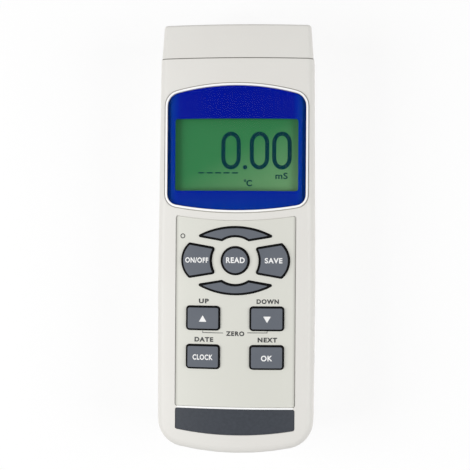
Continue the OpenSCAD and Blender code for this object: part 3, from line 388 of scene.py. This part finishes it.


# Window: a crowned sheet of clear acrylic over a film, screen printed blue round the display.
# The print is on the back of the film. It is paler along the sides and the lower edge: painted
# reflection of the curved lens near its edges.
blue_film = surface("screen_printed_blue", "#0119A8", "#00139E", 25, 0.8, 0.0, 0.4, IOR=1.5,
                    Specular_IOR_Level=0.02)
tree, axes = coordinates(blue_film)
aside = add(tree, "ShaderNodeMath", {0: axes[0]}, operation="ABSOLUTE")
sides = add(tree, "ShaderNodeMapRange", {"Value": aside.outputs[0], "From Min": 24 * MM,
                                         "From Max": 28.5 * MM})
lower = add(tree, "ShaderNodeMapRange", {"Value": axes[1], "From Min": 24 * MM,
                                         "From Max": 12 * MM, "To Max": 0.7})
painted_edge_light = add(tree, "ShaderNodeMath", {0: sides.outputs[0], 1: lower.outputs[0]}, operation="MAXIMUM")
overlaid(blue_film, painted_edge_light.outputs[0], "#0040A6")
welded("window_border", blue_film)

# Clear sheet: what lies under it shows through, and only a thin gloss stays on top, which is a
# little duller where it was wiped.
clear_acrylic = bpy.data.materials.new("clear_acrylic")
clear_acrylic.use_nodes = True
tree = clear_acrylic.node_tree
shade = tree.nodes["Principled BSDF"]
shade.inputs["Base Color"].default_value = linear("#05070A")
shade.inputs["Alpha"].default_value = 0.06
shade.inputs["IOR"].default_value = 1.49
place = add(tree, "ShaderNodeTexCoord").outputs["Object"]
haze = add(tree, "ShaderNodeTexNoise", {"Vector": place, "Scale": 1 / (6 * MM), "Detail": 3.0})
wiped = add(tree, "ShaderNodeMapRange", {"Value": haze.outputs["Fac"], "To Min": 0.03,
                                         "To Max": 0.08})
tree.links.new(wiped.outputs[0], shade.inputs["Roughness"])
welded("window_lens", clear_acrylic)


# Display: a reflective segment glass with a yellow-green backlight, set 4 mm back behind the lens.
# The glass is greener and darker to the upper left and lighter and yellower at the lower right:
# partly its own tint, partly painted shade of the frame along the top and painted light toward the
# lower right. Its segments are dark teal.
lcd = surface("segment_display_glass", "#34854F", "#3B8852", 14, 0.9, 0.0, 0.3, IOR=1.52,
              Specular_IOR_Level=0.1)
tree, axes = coordinates(lcd)
lowered = add(tree, "ShaderNodeMath", {0: axes[1], 1: -1.83}, operation="MULTIPLY")
slope = add(tree, "ShaderNodeMath", {0: axes[0], 1: lowered.outputs[0]}, operation="ADD")
tint_and_painted_light = add(tree, "ShaderNodeMapRange", {"Value": slope.outputs[0], "From Min": -72 * MM,
                                          "From Max": 2 * MM})
overlaid(lcd, tint_and_painted_light.outputs[0], "#82B27E")
welded("lcd_glass", lcd)


def glass(x):
    """Height of the front of the display glass, in millimetres; it is flat."""
    return 38.0


def oval(x, y, w, h, r, steps=8):
    """Corners of an upright rectangle with round corners, anticlockwise."""
    corners = [(x + w / 2 - r, y + h / 2 - r), (x - w / 2 + r, y + h / 2 - r),
               (x - w / 2 + r, y - h / 2 + r), (x + w / 2 - r, y - h / 2 + r)]
    points = [(cx + r * math.cos(math.radians(90 * (q + i / steps))),
               cy + r * math.sin(math.radians(90 * (q + i / steps))))
              for q, (cx, cy) in enumerate(corners) for i in range(steps + 1)]
    return [p for p, q in zip(points, points[1:] + points[:1]) if math.dist(p, q) > 1e-4]


def letters(form, text, x, y, w, h, low, high, height, bold=0.02):
    """Adds plain capitals that fill a box round a centre."""
    words = bpy.data.curves.new("words", "FONT")
    words.body, words.size, words.extrude, words.offset = text, 1, 0.5, bold
    words.space_character = 1.0 + 4 * bold
    holder = bpy.data.objects.new("words", words)
    mesh = bpy.data.meshes.new_from_object(holder)
    xs, ys = [v.co.x for v in mesh.vertices], [v.co.y for v in mesh.vertices]
    wide, tall = w / (max(xs) - min(xs)), h / (max(ys) - min(ys))
    mid_x, mid_y = (max(xs) + min(xs)) / 2, (max(ys) + min(ys)) / 2
    for v in mesh.vertices:
        px = x + (v.co.x - mid_x) * wide
        v.co = (px, y + (v.co.y - mid_y) * tall, height(px) + (high if v.co.z > 0 else low))
    letter = bmesh.new()
    letter.from_mesh(mesh)
    bmesh.ops.remove_doubles(letter, verts=letter.verts, dist=0.0005)
    letter.to_mesh(mesh)
    letter.free()
    form.from_mesh(mesh)
    bpy.data.meshes.remove(mesh)
    bpy.data.objects.remove(holder)
    bpy.data.curves.remove(words)


# Segments: dark teal and slightly glossy, as polarised liquid crystal looks under glass.
lcd_segment = surface("liquid_crystal_segments", "#013B45", "#01363F", 8, 0.6, 0.0, 0.35, IOR=1.52,
                      Specular_IOR_Level=0.05)
form = bmesh.new()
low, high = 0.005, 0.03
digit_y, digit_w, digit_h, bowl, tall, stroke = 37.79, 8.34, 16.16, 4.1, 1.2, 1.75
for x in (-2.53, 9.66, 19.24):
    zero = [(a, digit_y + tall * b) for a, b in oval(x, 0, digit_w, digit_h / tall, bowl)]
    band(form, zero, [(-stroke, low), (-stroke, high), (0, high), (0, low)], glass)
tile(form, oval(3.52, 30.65, 1.9, 1.9, 0.95, 6), low, high, glass)
dash_x, dash_step, dash_y = -15.27, 3.62, 28.23
for i in range(5):
    tile(form, oval(dash_x + dash_step * i, dash_y, 2.7, 0.55, 0.2, 2), low, high, glass)
letters(form, "mS", 19.13, 27.0, 5.2, 2.75, low, high, glass, bold=0.018)
letters(form, "C", 5.35, 23.88, 2.4, 2.7, low, high, glass, bold=0.03)
band(form, oval(3.55, 24.95, 1.1, 1.1, 0.55, 6),
     [(-0.34, low), (-0.34, high), (0, high), (0, low)], glass)
made("display_segments", form, lcd_segment, "lcd", "housing")

# Frame, backlight and contact strips hold the glass on the board: glass-filled nylon, a milky
# acrylic light guide and strips of carbon-filled silicone.
black_nylon = surface("black_moulded_nylon", "#1E1F21", "#18191B", 10, 0.35, 0.01, 0.5, IOR=1.53)
welded("lcd_frame", black_nylon, round_off=0.15)
milky_acrylic = surface("milky_light_guide", "#EEF3E4", "#E6EDDB", 18, 0.6, 0.004, 0.4, IOR=1.49)
welded("backlight", milky_acrylic, round_off=0.15)
carbon_silicone = surface("carbon_filled_silicone", "#26272A", "#1F2023", 6, 0.4, 0.01, 0.7,
                          IOR=1.41)
welded("contact_strips", carbon_silicone)
welded("keypad_web", carbon_silicone, round_off=0.2)


# Printed panel and dark bar: two matt polyester films in shallow recesses of the front shell.
# Words and signs for the keys are screen printed on the panel in dark grey.
panel_film = surface("printed_polyester_film", "#DBDBD3", "#D5D5CC", 30, 0.6, 0.006, 0.45, IOR=1.57)
# The film is darkened along its long sides, where it meets the walls of its recess: painted shade
# from those walls.
film_side, shade_width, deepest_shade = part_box("key_panel")[1][0], 1.4 * MM, 0.6
tree, axes = coordinates(panel_film)
aside = add(tree, "ShaderNodeMath", {0: axes[0]}, operation="ABSOLUTE")
near = add(tree, "ShaderNodeMapRange", {"Value": aside.outputs[0],
                                        "From Min": film_side - shade_width, "From Max": film_side})
wall_shade = add(tree, "ShaderNodeMath", {0: near.outputs[0], 1: 2.0}, operation="POWER")
wall_shade = add(tree, "ShaderNodeMath", {0: wall_shade.outputs[0], 1: deepest_shade}, operation="MULTIPLY")
overlaid(panel_film, wall_shade.outputs[0], "#6F6D68")
welded("key_panel", panel_film)
# A fine speckle keeps the dark film from looking flat, and its matt face throws back little light.
bar_film = surface("dark_polyester_film", "#383D45", "#292D34", 1.2, 0.6, 0.01, 0.5, IOR=1.57,
                   Specular_IOR_Level=0.3)
welded("name_bar", bar_film)

grey_ink = surface("grey_screen_ink", "#2E2F2F", "#282929", 5, 0.4, 0.002, 0.5, IOR=1.5)
form = bmesh.new()
low, high = -0.31, -0.285
for text, x, y, w, h in (("UP", -13.24, -26.31, 4.3, 2.0), ("DOWN", 13.81, -26.29, 9.4, 2.0),
                         ("DATE", -13.12, -42.56, 8.0, 2.0), ("NEXT", 13.78, -42.47, 8.2, 2.0),
                         ("ZERO", 0.15, -39.92, 7.8, 2.0)):
    letters(form, text, x, y, w, h, low, high, crown, bold=0.05)
band(form, oval(-22.48, 1.16, 2.1, 2.1, 1.05, 8),
     [(-0.4, low), (-0.4, high), (0, high), (0, low)], crown)
# A bracket joins the two arrow keys to the word between them.
for x0, x1, y0, y1 in ((-13.75, -13.5, -39.7, -38.9), (-13.76, -4.9, -39.84, -39.56),
                       (5.3, 13.76, -39.62, -39.34), (13.5, 13.75, -39.5, -38.7)):
    strip(form, x0, x1, y0, y1, low, high, crown)
made("panel_signs", form, grey_ink, "panel_print", "housing")

# A black rubber lining in each key hole darkens the gap round the key: painted shade, standing in
# for the shade deep in the gap, and its band over the panel draws the dark outline round the key.
# It reaches a little further over the panel round the five upper keys than round the four lower
# ones.
black_lip = surface("black_rubber_lip", "#070809", "#050607", 6, 0.4, 0.004, 0.8, IOR=1.41,
                    Specular_IOR_Level=0.15)
form = bmesh.new()
lip_in, lip_foot, lip_top, film_top, lower_keys_y = -0.28, -1.6, -0.27, -0.31, -25
for loop in rims("key_panel")[1:]:
    over = 0.02 if loop[0][1] < lower_keys_y else 0.15
    band(form, loop, [(lip_in, lip_foot), (lip_in, lip_top), (over, lip_top), (over, film_top),
                      (-0.02, film_top), (-0.02, lip_foot)], crown)
made("key_gap_shade_lips", form, black_lip, "web_rubber", "housing")


# Keys: nine caps of black silicone rubber whose tops are sprayed slate grey, inside the eased edge.
# Each has a stem and a flange that keeps it in; its word is printed in white and rides on the key.
def clearance(point, loop):
    """Distance from a point to the nearest side of a loop."""
    nearest = []
    for (ax, ay), (bx, by) in zip(loop, loop[1:] + loop[:1]):
        side, away = Vector((bx - ax, by - ay)), Vector((point.x - ax, point.y - ay))
        share = max(0, min(1, away.dot(side) / side.length_squared))
        nearest.append((away - side * share).length)
    return min(nearest)


def key_cap(form, hole, stem_z=34.0, gap=0.35, ease=0.5, rise=0.76):
    """Adds a key from the outline of its hole, its crowned top filled with an even net."""
    flange_out, flange_low, flange_high = 0.7, -3.4, -2.6
    eased = [(-gap - ease * (1 - math.cos(math.radians(a))),
              rise - ease * (1 - math.sin(math.radians(a)))) for a in (0, 22.5, 45, 67.5, 90)]
    first, spaced, closest = len(form.verts), [hole[0]], 0.18
    for point in hole[1:]:
        if min(math.dist(point, spaced[-1]), math.dist(point, spaced[0])) > closest:
            spaced.append(point)
    hole = spaced
    band(form, hole, [(-gap, flange_low), (flange_out, flange_low), (flange_out, flange_high),
                      (-gap, flange_high)] + eased, crown)
    form.verts.ensure_lookup_table()
    size = 4 + len(eased)
    rings = [form.verts[first + i * size:first + (i + 1) * size] for i in range(len(hole))]
    for face in [face for face in form.faces
                 if any(ring[-1] in face.verts and ring[0] in face.verts for ring in rings)]:
        form.faces.remove(face)
    for face in form.faces:
        face.material_index = 1
    # At a corner tighter than the eased edge, points that would cross over join the nearest one.
    count = len(rings)
    for k, (inset, _) in enumerate(eased[2:], size - len(eased) + 2):
        kept = [i for i, ring in enumerate(rings)
                if clearance(ring[k].co, hole) > -inset - 0.02]
        for i in set(range(count)) - set(kept):
            near = min(kept, key=lambda j: min((i - j) % count, (j - i) % count))
            rings[i][k].co = rings[near][k].co
    start = max(range(count), key=lambda i: (rings[i][-1].co - rings[i - 1][-1].co).length)
    edge, corners, same = [ring[-1] for ring in rings[start:] + rings[:start]], [], 0.03
    for vert in edge:
        if corners and (vert.co - corners[-1][0].co).length < same:
            vert.co = corners[-1][0].co
            corners[-1].append(vert)
        else:
            corners.append([vert])
    net = [members[0].co.xy for members in corners]
    mesh_size, margin = 1.5, 0.6
    spans = [range(math.ceil(min(values) / mesh_size), math.floor(max(values) / mesh_size) + 1)
             for values in ([v.co.x for v in edge], [v.co.y for v in edge])]
    inside = [Vector((x * mesh_size, y * mesh_size)) for x in spans[0] for y in spans[1]]
    clear = [p for p in inside if min((p - q).length for q in net) > margin]
    places, _, faces, _, _, _ = delaunay_2d_cdt(net + clear, [], [list(range(len(net)))], 1, 1e-5)
    top = [members[0] for members in corners]
    top += [form.verts.new((p.x, p.y, crown(p.x) + rise)) for p in places[len(net):]]
    for triangle in faces:
        form.faces.new([top[i] for i in triangle]).material_index = 0
    foot = [form.verts.new((ring[0].co.x, ring[0].co.y, stem_z)) for ring in rings]
    for i in range(len(foot)):
        wall = form.faces.new((foot[i - 1], foot[i], rings[i][0], rings[i - 1][0]))
        wall.material_index = 1
    form.faces.new(foot[::-1]).material_index = 1
    bmesh.ops.remove_doubles(form, verts=form.verts, dist=0.0001)


key_rubber = surface("moulded_silicone", "#62676F", "#5B6069", 8, 0.45, 0.012, 0.6, IOR=1.41)
white_ink = surface("white_screen_ink", "#F6F6F5", "#EFEFEE", 5, 0.4, 0.002, 0.45, IOR=1.5)
holes = rims("key_panel")[1:]
marks = {"hold": ("READ", 0.13, -8.87, 7.9, 2.4), "power": ("ON/OFF", -16.3, -8.99, 9.9, 2.25),
         "record": ("SAVE", 16.2, -8.96, 7.4, 2.3), "time": ("CLOCK", -13.5, -49.96, 8.6, 2.3),
         "enter": ("OK", 13.55, -50.09, 4.8, 2.4), "upper": None, "lower": None,
         "up": [(-15.2, -35.0), (-12.0, -35.0), (-13.6, -32.3)],
         "down": [(13.6, -35.2), (15.2, -32.5), (12.0, -32.5)]}
low, high = 0.74, 0.785
for key, mark in marks.items():
    form = bmesh.new()
    middle = [(a + b) / 2 / MM for a, b in zip(*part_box(key + "_key"))]
    key_cap(form, min(holes, key=lambda hole: math.dist(middle[:2], [
        (min(p[i] for p in hole) + max(p[i] for p in hole)) / 2 for i in (0, 1)])))
    cap = made(key + "_cap", form, key_rubber, "key_rubber", key + "_key", key + "_key")
    cap.data.materials.append(black_lip)
    if mark:
        form = bmesh.new()
        if isinstance(mark, tuple):
            letters(form, *mark, low, high, crown, bold=0.03)
        else:
            tile(form, mark, low, high, crown)
        made(key + "_sign", form, white_ink, "panel_print", key + "_key")


# Battery cover and tilt stand: two more ABS mouldings on the back, of the same grain as the shells.
# The cover has five grip grooves, and the stand swings out on two moulded pivots.
welded("battery_cover", moulded_abs, round_off=0.2)
welded("tilt_stand", moulded_abs, round_off=0.25)


# Screws: pan heads with a cross recess, rolled threads and a short point, in zinc-plated steel.
# One tree makes them all, from the sizes of each kind, at the places where the CAD has them.
def solids(node):
    """Lowest and highest corners of each separate solid of a CAD node, in millimetres."""
    form = joined(node)
    left, boxes = set(form.verts), []
    while left:
        todo = [left.pop()]
        for vert in todo:
            near = {edge.other_vert(vert) for edge in vert.link_edges} & left
            left -= near
            todo.extend(near)
        boxes.append([[pick(v.co[i] for v in todo) / MM for i in range(3)] for pick in (min, max)])
    form.free()
    return sorted(boxes)


def growing(name, *sizes):
    """A Geometry Nodes tree with a named input for each size, and its inputs' sockets."""
    tree = bpy.data.node_groups.new(name, "GeometryNodeTree")
    tree.interface.new_socket("Places", in_out="INPUT", socket_type="NodeSocketGeometry")
    for size in sizes:
        tree.interface.new_socket(size, in_out="INPUT", socket_type="NodeSocketFloat")
    tree.interface.new_socket("Made", in_out="OUTPUT", socket_type="NodeSocketGeometry")
    return tree, tree.nodes.new("NodeGroupInput").outputs


def ended(tree, geometry, material):
    """Ends a tree: instances become a mesh, which gets its material."""
    real = add(tree, "GeometryNodeRealizeInstances", {0: geometry})
    dressed = add(tree, "GeometryNodeSetMaterial", {"Geometry": real.outputs[0],
                                                    "Material": material})
    add(tree, "NodeGroupOutput", {0: dressed.outputs[0]})


def grown(name, tree, places, sizes, slot, body, *nodes):
    """Runs a tree at places in millimetres and keeps its result as a plain mesh."""
    points = bpy.data.meshes.new(name + "_places")
    points.from_pydata([Vector(p) * MM for p in places], [], [])
    seat = bpy.data.objects.new(name + "_places", points)
    step = seat.modifiers.new("growing", "NODES")
    step.node_group = tree
    for item in tree.interface.items_tree:
        if item.name in sizes:
            step[item.identifier] = float(sizes[item.name])
    scene.collection.objects.link(seat)
    mesh = bpy.data.meshes.new_from_object(
        seat.evaluated_get(bpy.context.evaluated_depsgraph_get()))
    bpy.data.objects.remove(seat)
    mesh.name = name
    return riding(name, mesh, slot, body, *nodes)


# Zinc plate: a cool grey metal with a faint drift in tone and fine drawing marks.
zinc_plate = surface("zinc_plated_steel", "#B9BABC", "#A8A9AC", 3, 0.3, 0.004, 0.34, Metallic=1.0)
tree, given = growing("pan_head_screw", "Head Radius", "Head Height", "Shaft Radius", "Length",
                      "Pitch", "Tilt")
seat, head, head_height, shaft_radius, length, pitch, tilted = given[:7]
# Every other size of a screw is a share of one of these.
part = {}
for name, size, share in (
        ("crown", head, 0.82), ("recess length", head, 1.2), ("recess width", head, 0.24),
        ("recess lift", head_height, 0.9), ("thread depth", pitch, -0.3), ("ridge", pitch, 0.3),
        ("shaft length", length, 0.9), ("shaft lift", length, -0.43),
        ("point length", length, 0.13), ("point lift", length, -1.0),
        ("threaded length", length, 0.7), ("first turn", length, -0.86)):
    part[name] = add(tree, "ShaderNodeMath", {0: size, 1: share}, operation="MULTIPLY").outputs[0]
core = add(tree, "ShaderNodeMath", {0: shaft_radius, 1: part["thread depth"]},
           operation="ADD").outputs[0]
for name, share in (("point root", 0.97), ("point tip", 0.3)):
    part[name] = add(tree, "ShaderNodeMath", {0: core, 1: share}, operation="MULTIPLY").outputs[0]

pan = add(tree, "GeometryNodeMeshCone", {
    "Vertices": 40, "Side Segments": 1, "Radius Top": part["crown"], "Radius Bottom": head,
    "Depth": head_height})
recess = add(tree, "ShaderNodeCombineXYZ", {0: part["recess length"], 1: part["recess width"],
                                            2: head_height})
bar = add(tree, "GeometryNodeMeshCube", {"Size": recess.outputs[0]})
cross = add(tree, "GeometryNodeTransform", {"Geometry": bar.outputs[0],
                                            "Rotation": (0, 0, math.pi / 2)})
shaft = add(tree, "GeometryNodeMeshCylinder", {"Vertices": 24, "Radius": core,
                                               "Depth": part["shaft length"]})
point = add(tree, "GeometryNodeMeshCone", {
    "Vertices": 24, "Radius Top": part["point root"], "Radius Bottom": part["point tip"],
    "Depth": part["point length"]})
lifted = []
for bit, lift in ((bar, "recess lift"), (cross, "recess lift"), (shaft, "shaft lift"),
                  (point, "point lift")):
    move = add(tree, "ShaderNodeCombineXYZ", {2: part[lift]})
    bit = add(tree, "GeometryNodeTransform", {"Geometry": bit.outputs[0],
                                              "Translation": move.outputs[0]})
    lifted.append(bit.outputs[0])
cut = add(tree, "GeometryNodeMeshBoolean", {0: pan.outputs[0], "Self Intersection": True},
          operation="DIFFERENCE", solver="EXACT")
for bit in lifted[:2]:
    tree.links.new(bit, cut.inputs["Mesh 2"])
ring = add(tree, "GeometryNodeCurvePrimitiveCircle", {"Resolution": 24, "Radius": core})
ridge = add(tree, "GeometryNodeCurvePrimitiveCircle", {"Resolution": 5, "Radius": part["ridge"]})
turn_of_thread = add(tree, "GeometryNodeCurveToMesh", {"Curve": ring.outputs[0],
                                                       "Profile Curve": ridge.outputs[0]})
count = add(tree, "ShaderNodeMath", {0: part["threaded length"], 1: pitch}, operation="DIVIDE")
start = add(tree, "ShaderNodeCombineXYZ", {2: part["first turn"]})
step = add(tree, "ShaderNodeCombineXYZ", {2: pitch})
line = add(tree, "GeometryNodeMeshLine", {"Count": count.outputs[0],
                                          "Start Location": start.outputs[0],
                                          "Offset": step.outputs[0]})
thread = add(tree, "GeometryNodeInstanceOnPoints", {"Points": line.outputs[0],
                                                    "Instance": turn_of_thread.outputs[0]})
screw = add(tree, "GeometryNodeJoinGeometry")
for bit in (cut.outputs[0], *lifted[2:], thread.outputs[0]):
    tree.links.new(bit, screw.inputs[0])
tilt = add(tree, "ShaderNodeCombineXYZ", {0: tilted})
stood = add(tree, "GeometryNodeInstanceOnPoints", {"Points": seat, "Instance": screw.outputs[0],
                                                   "Rotation": tilt.outputs[0]})
ended(tree, stood.outputs[0], zinc_plate)

for node, body, head_d, head_h, shaft_d, length, pitch, head_down in (
        ("case_screws", "housing", 5.4, 2.0, 2.8, 18, 0.9, True),
        ("cover_screws", "battery_cover", 5.4, 1.2, 2.8, 7, 0.9, True),
        ("main_board_screws", "housing", 4.0, 1.5, 2.2, 6, 0.7, True),
        ("input_board_screws", "housing", 4.0, 1.5, 2.2, 5.4, 0.7, False)):
    seats = [((a[0] + b[0]) / 2, (a[1] + b[1]) / 2, a[2] + head_h if head_down else b[2] - head_h)
             for a, b in solids(node)]
    grown(node + "_turned", tree, seats,
          {"Head Radius": head_d / 2 * MM, "Head Height": head_h * MM,
           "Shaft Radius": shaft_d / 2 * MM, "Length": length * MM, "Pitch": pitch * MM,
           "Tilt": math.pi if head_down else 0}, "zinc_screw", body, node)


# Battery contacts: sprung steel plates in the bay's end walls, and a wound conical spring for each
# cell. Both are nickel plated, which is a warmer and brighter grey than zinc.
nickel_plate = surface("nickel_plated_steel", "#C6C2BA", "#B4B0A7", 4, 0.3, 0.003, 0.26,
                       Metallic=1.0)
welded("contact_plates", nickel_plate, round_off=0.08)
tree, given = growing("conical_spring", "Wire Radius", "Wide Radius", "Narrow Radius", "Height")
seat, wire_radius, wide, narrow, height = given[:5]
coil = add(tree, "GeometryNodeCurveSpiral", {"Resolution": 28, "Rotations": 2.5,
                                             "Start Radius": wide, "End Radius": narrow,
                                             "Height": height})
wire = add(tree, "GeometryNodeCurvePrimitiveCircle", {"Resolution": 10, "Radius": wire_radius})
wound = add(tree, "GeometryNodeCurveToMesh", {"Curve": coil.outputs[0],
                                              "Profile Curve": wire.outputs[0], "Fill Caps": True})
# Springs at the right wall lean to the left, and those at the left wall to the right.
placed = add(tree, "GeometryNodeInputPosition")
across = add(tree, "ShaderNodeSeparateXYZ", {0: placed.outputs[0]})
side = add(tree, "ShaderNodeMath", {0: across.outputs[0]}, operation="SIGN")
angle = add(tree, "ShaderNodeMath", {0: side.outputs[0], 1: -math.pi / 2}, operation="MULTIPLY")
lean = add(tree, "ShaderNodeCombineXYZ", {1: angle.outputs[0]})
stood = add(tree, "GeometryNodeInstanceOnPoints", {"Points": seat, "Instance": wound.outputs[0],
                                                   "Rotation": lean.outputs[0]})
ended(tree, stood.outputs[0], nickel_plate)
wall_x = 25.98
seats = [(math.copysign(wall_x, b[0]), (a[1] + b[1]) / 2, (a[2] + b[2]) / 2)
         for a, b in solids("contact_springs")]
grown("wound_contact_springs", tree, seats,
      {"Wire Radius": 0.36 * MM, "Wide Radius": 4.0 * MM, "Narrow Radius": 2.9 * MM,
       "Height": 1.45 * MM}, "plated_steel", "housing", "contact_springs")


# Cells: six drawn steel cans in printed shrink sleeves, crimped at the closed end, with a button.
# The sleeve is plain blue with a pale band near the button, and leaves the two steel ends bare.
def turned(name, profile, place, axis, dress, slot, body, *nodes, sides=64):
    """A lathe-turned solid; its profile lists radius, length and the number of the material of
    the span that starts there."""
    form = bmesh.new()
    rings = []
    for r, l, _ in profile:
        if r:
            rings.append([form.verts.new((r * math.cos(math.tau * i / sides),
                                          r * math.sin(math.tau * i / sides), l))
                          for i in range(sides)])
        else:
            rings.append([form.verts.new((0, 0, l))] * sides)
    for (ring, other), (_, _, number) in zip(zip(rings, rings[1:]), profile):
        for i in range(sides):
            corners = list(dict.fromkeys((ring[i - 1], ring[i], other[i], other[i - 1])))
            form.faces.new(corners).material_index = number
    spin = Vector((0, 0, 1)).rotation_difference(Vector(axis)).to_matrix().to_4x4()
    bmesh.ops.transform(form, matrix=Matrix.Translation(place) @ spin, verts=form.verts)
    piece = made(name, form, dress[0], slot, body, *nodes)
    for material in dress[1:]:
        piece.data.materials.append(material)
    return piece


sleeve = surface("shrink_sleeve", "#2F4E86", "#2A477D", 9, 0.5, 0.003, 0.3, IOR=1.53)
sleeve_band = surface("shrink_sleeve_pale_band", "#D7DAD9", "#CFD3D2", 9, 0.5, 0.003, 0.3,
                      IOR=1.53)
blue, pale, steel = 0, 1, 2
cell_profile = [
    (0, 0, steel), (4.8, 0, steel), (5.2, 0.2, steel), (6.3, 0.2, steel), (6.5, 0, blue),
    (6.95, 0.05, blue), (7.24, 0.4, blue), (7.24, 34, pale), (7.24, 45, blue), (7.24, 48.9, blue),
    (7.0, 49.25, blue), (6.5, 49.28, steel), (6.3, 48.9, steel), (3.1, 48.9, steel),
    (2.75, 49.2, steel), (2.7, 50.2, steel), (2.4, 50.48, steel), (0, 50.48, steel)]
for i in range(1, 7):
    node = "cell_%d" % i
    (x0, y0, z0), (x1, y1, z1) = [corner / MM for corner in map(Vector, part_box(node))]
    side = 1 if i % 2 else -1
    turned("sleeved_" + node, cell_profile,
           (x0 if side > 0 else x1, (y0 + y1) / 2, (z0 + z1) / 2), (side, 0, 0),
           (sleeve, sleeve_band, nickel_plate), "cell_sleeve", "housing", node)


# Circuit boards: glass-epoxy laminate under a green solder mask, with its copper tracks showing.
# Chips are black moulded epoxy with tinned legs; the quartz can and the card socket are steel.
solder_mask = surface("green_solder_mask", "#1C5B3C", "#184F35", 12, 0.5, 0.003, 0.3, IOR=1.5)
tree = solder_mask.node_tree
place = add(tree, "ShaderNodeTexCoord").outputs["Object"]
tracks = add(tree, "ShaderNodeTexBrick", {
    "Vector": place, "Scale": 1 / (9 * MM), "Mortar Size": 0.025, "Color1": (0, 0, 0, 1),
    "Color2": (0, 0, 0, 1), "Mortar": (1, 1, 1, 1)})
overlaid(solder_mask, tracks.outputs["Fac"], "#3A8A5E")
welded("main_board", solder_mask)
welded("input_board", solder_mask)

chip_epoxy = surface("chip_moulding_epoxy", "#232427", "#1C1D20", 4, 0.3, 0.008, 0.55, IOR=1.55)
welded("main_chips", chip_epoxy, round_off=0.15)
welded("input_chips", chip_epoxy, round_off=0.15)
welded("buzzer", chip_epoxy, round_off=0.3)
tinned = surface("tinned_lead_frame", "#C9CACB", "#BBBCBE", 3, 0.3, 0.003, 0.3, Metallic=1.0)
tree, given = growing("chip_legs", "Length", "Width", "Thickness")
foot = add(tree, "ShaderNodeCombineXYZ", {0: given[1], 1: given[2], 2: given[3]})
leg = add(tree, "GeometryNodeMeshCube", {"Size": foot.outputs[0]})
stood = add(tree, "GeometryNodeInstanceOnPoints", {"Points": given[0], "Instance": leg.outputs[0]})
ended(tree, stood.outputs[0], tinned)
legs_in_row, from_end, out = 6, 0.8, 0.35
for node, board_z in (("main_chips", 30.98), ("input_chips", 12.12)):
    seats = [(x, a[1] + from_end + (b[1] - a[1] - 2 * from_end) * k / (legs_in_row - 1), board_z)
             for a, b in solids(node) for x in (a[0] - out, b[0] + out) for k in range(legs_in_row)]
    grown(node + "_legs", tree, seats,
          {"Length": 0.9 * MM, "Width": 0.4 * MM, "Thickness": 0.2 * MM},
          "plated_steel", "housing")

welded("crystal", nickel_plate, round_off=0.3)
welded("card_socket", nickel_plate)
capacitor_sleeve = surface("capacitor_shrink_sleeve", "#33405A", "#2C384F", 6, 0.4, 0.003, 0.35,
                           IOR=1.53)
welded("capacitors", capacitor_sleeve, round_off=0.3)
welded("board_connector", black_nylon, round_off=0.2)


# Side sockets and reset button: black nylon jacks, one with a plated centre pin, and a small
# switch, behind holes in the shell. The button is red acetal, a little waxy to look at.
for node in ("power_jack", "serial_jack", "reset_switch"):
    welded(node, black_nylon, round_off=0.15)
welded("power_jack_pin", nickel_plate, round_off=0.2)
acetal = surface("red_acetal", "#9C2B25", "#8C2620", 4, 0.4, 0.004, 0.42, IOR=1.48)
welded("reset_button", acetal, round_off=0.2)


# Probe socket: a turned brass shell, nickel plated, clamped in the cap by a hexagon nut.
# Its insert is black nylon and holds five turned brass contacts, each with its coloured lead.
welded("probe_socket_shell", nickel_plate, round_off=0.15)
welded("probe_socket_nut", nickel_plate, round_off=0.2)
welded("probe_socket_insert", black_nylon, round_off=0.1)
# Bare brass is a soft yellow that varies a little with its turning marks.
turned_brass = surface("turned_brass", "#BC9F66", "#AC8F58", 5, 0.25, 0.004, 0.3, Metallic=1.0)
welded("probe_socket_contacts", turned_brass)
# Each lead has its own colour of soft PVC, so a solid's triangles take the slot of its box.
wire_colours = {"red": ("#A8332C", "#9B2E28"), "black": ("#232325", "#1C1C1E"),
                "white": ("#D9D8D3", "#CFCEC9"), "yellow": ("#C9A93A", "#BD9E34"),
                "green": ("#3C7A4A", "#356E42")}
for node, order in (("probe_leads", ("red", "white", "yellow", "green", "black")),
                    ("battery_leads", ("black", "red"))):
    leads = welded(node, moulded_abs, angle=60)
    leads.data.materials.clear()
    for colour in order:
        name = "pvc_insulation_" + colour
        leads.data.materials.append(
            bpy.data.materials.get(name)
            or surface(name, *wire_colours[colour], 6, 0.5, 0.003, 0.4, IOR=1.53))
    boxes = solids(node)
    for face in leads.data.polygons:
        x, y = face.center.x / MM, face.center.y / MM
        misses = [max(a[0] - x, x - b[0], 0) + max(a[1] - y, y - b[1], 0) for a, b in boxes]
        face.material_index = misses.index(min(misses))


# Tripod insert: a brass bush moulded into the rear shell, with a rolled quarter-inch thread.
# The thread is a row of rings at its pitch, which stand a little into the bore.
welded("tripod_insert", turned_brass)
tree, given = growing("thread_rings", "Radius", "Wire Radius", "Pitch", "Turns")
seat, radius, wire_radius, pitch, turns = given[:5]
ring = add(tree, "GeometryNodeCurvePrimitiveCircle", {"Resolution": 48, "Radius": radius})
ridge = add(tree, "GeometryNodeCurvePrimitiveCircle", {"Resolution": 6, "Radius": wire_radius})
round_turn = add(tree, "GeometryNodeCurveToMesh", {"Curve": ring.outputs[0],
                                                   "Profile Curve": ridge.outputs[0]})
rise = add(tree, "ShaderNodeCombineXYZ", {2: pitch})
line = add(tree, "GeometryNodeMeshLine", {"Count": turns, "Offset": rise.outputs[0]})
thread = add(tree, "GeometryNodeInstanceOnPoints", {"Points": line.outputs[0],
                                                    "Instance": round_turn.outputs[0]})
stood = add(tree, "GeometryNodeInstanceOnPoints", {"Points": seat, "Instance": thread.outputs[0]})
ended(tree, stood.outputs[0], turned_brass)
bush_y, first_turn_z = 48, 1.0
grown("tripod_thread", tree, [(0, bush_y, first_turn_z)],
      {"Radius": 3.28 * MM, "Wire Radius": 0.3 * MM, "Pitch": 1.27 * MM, "Turns": 6},
      "brass", "housing")
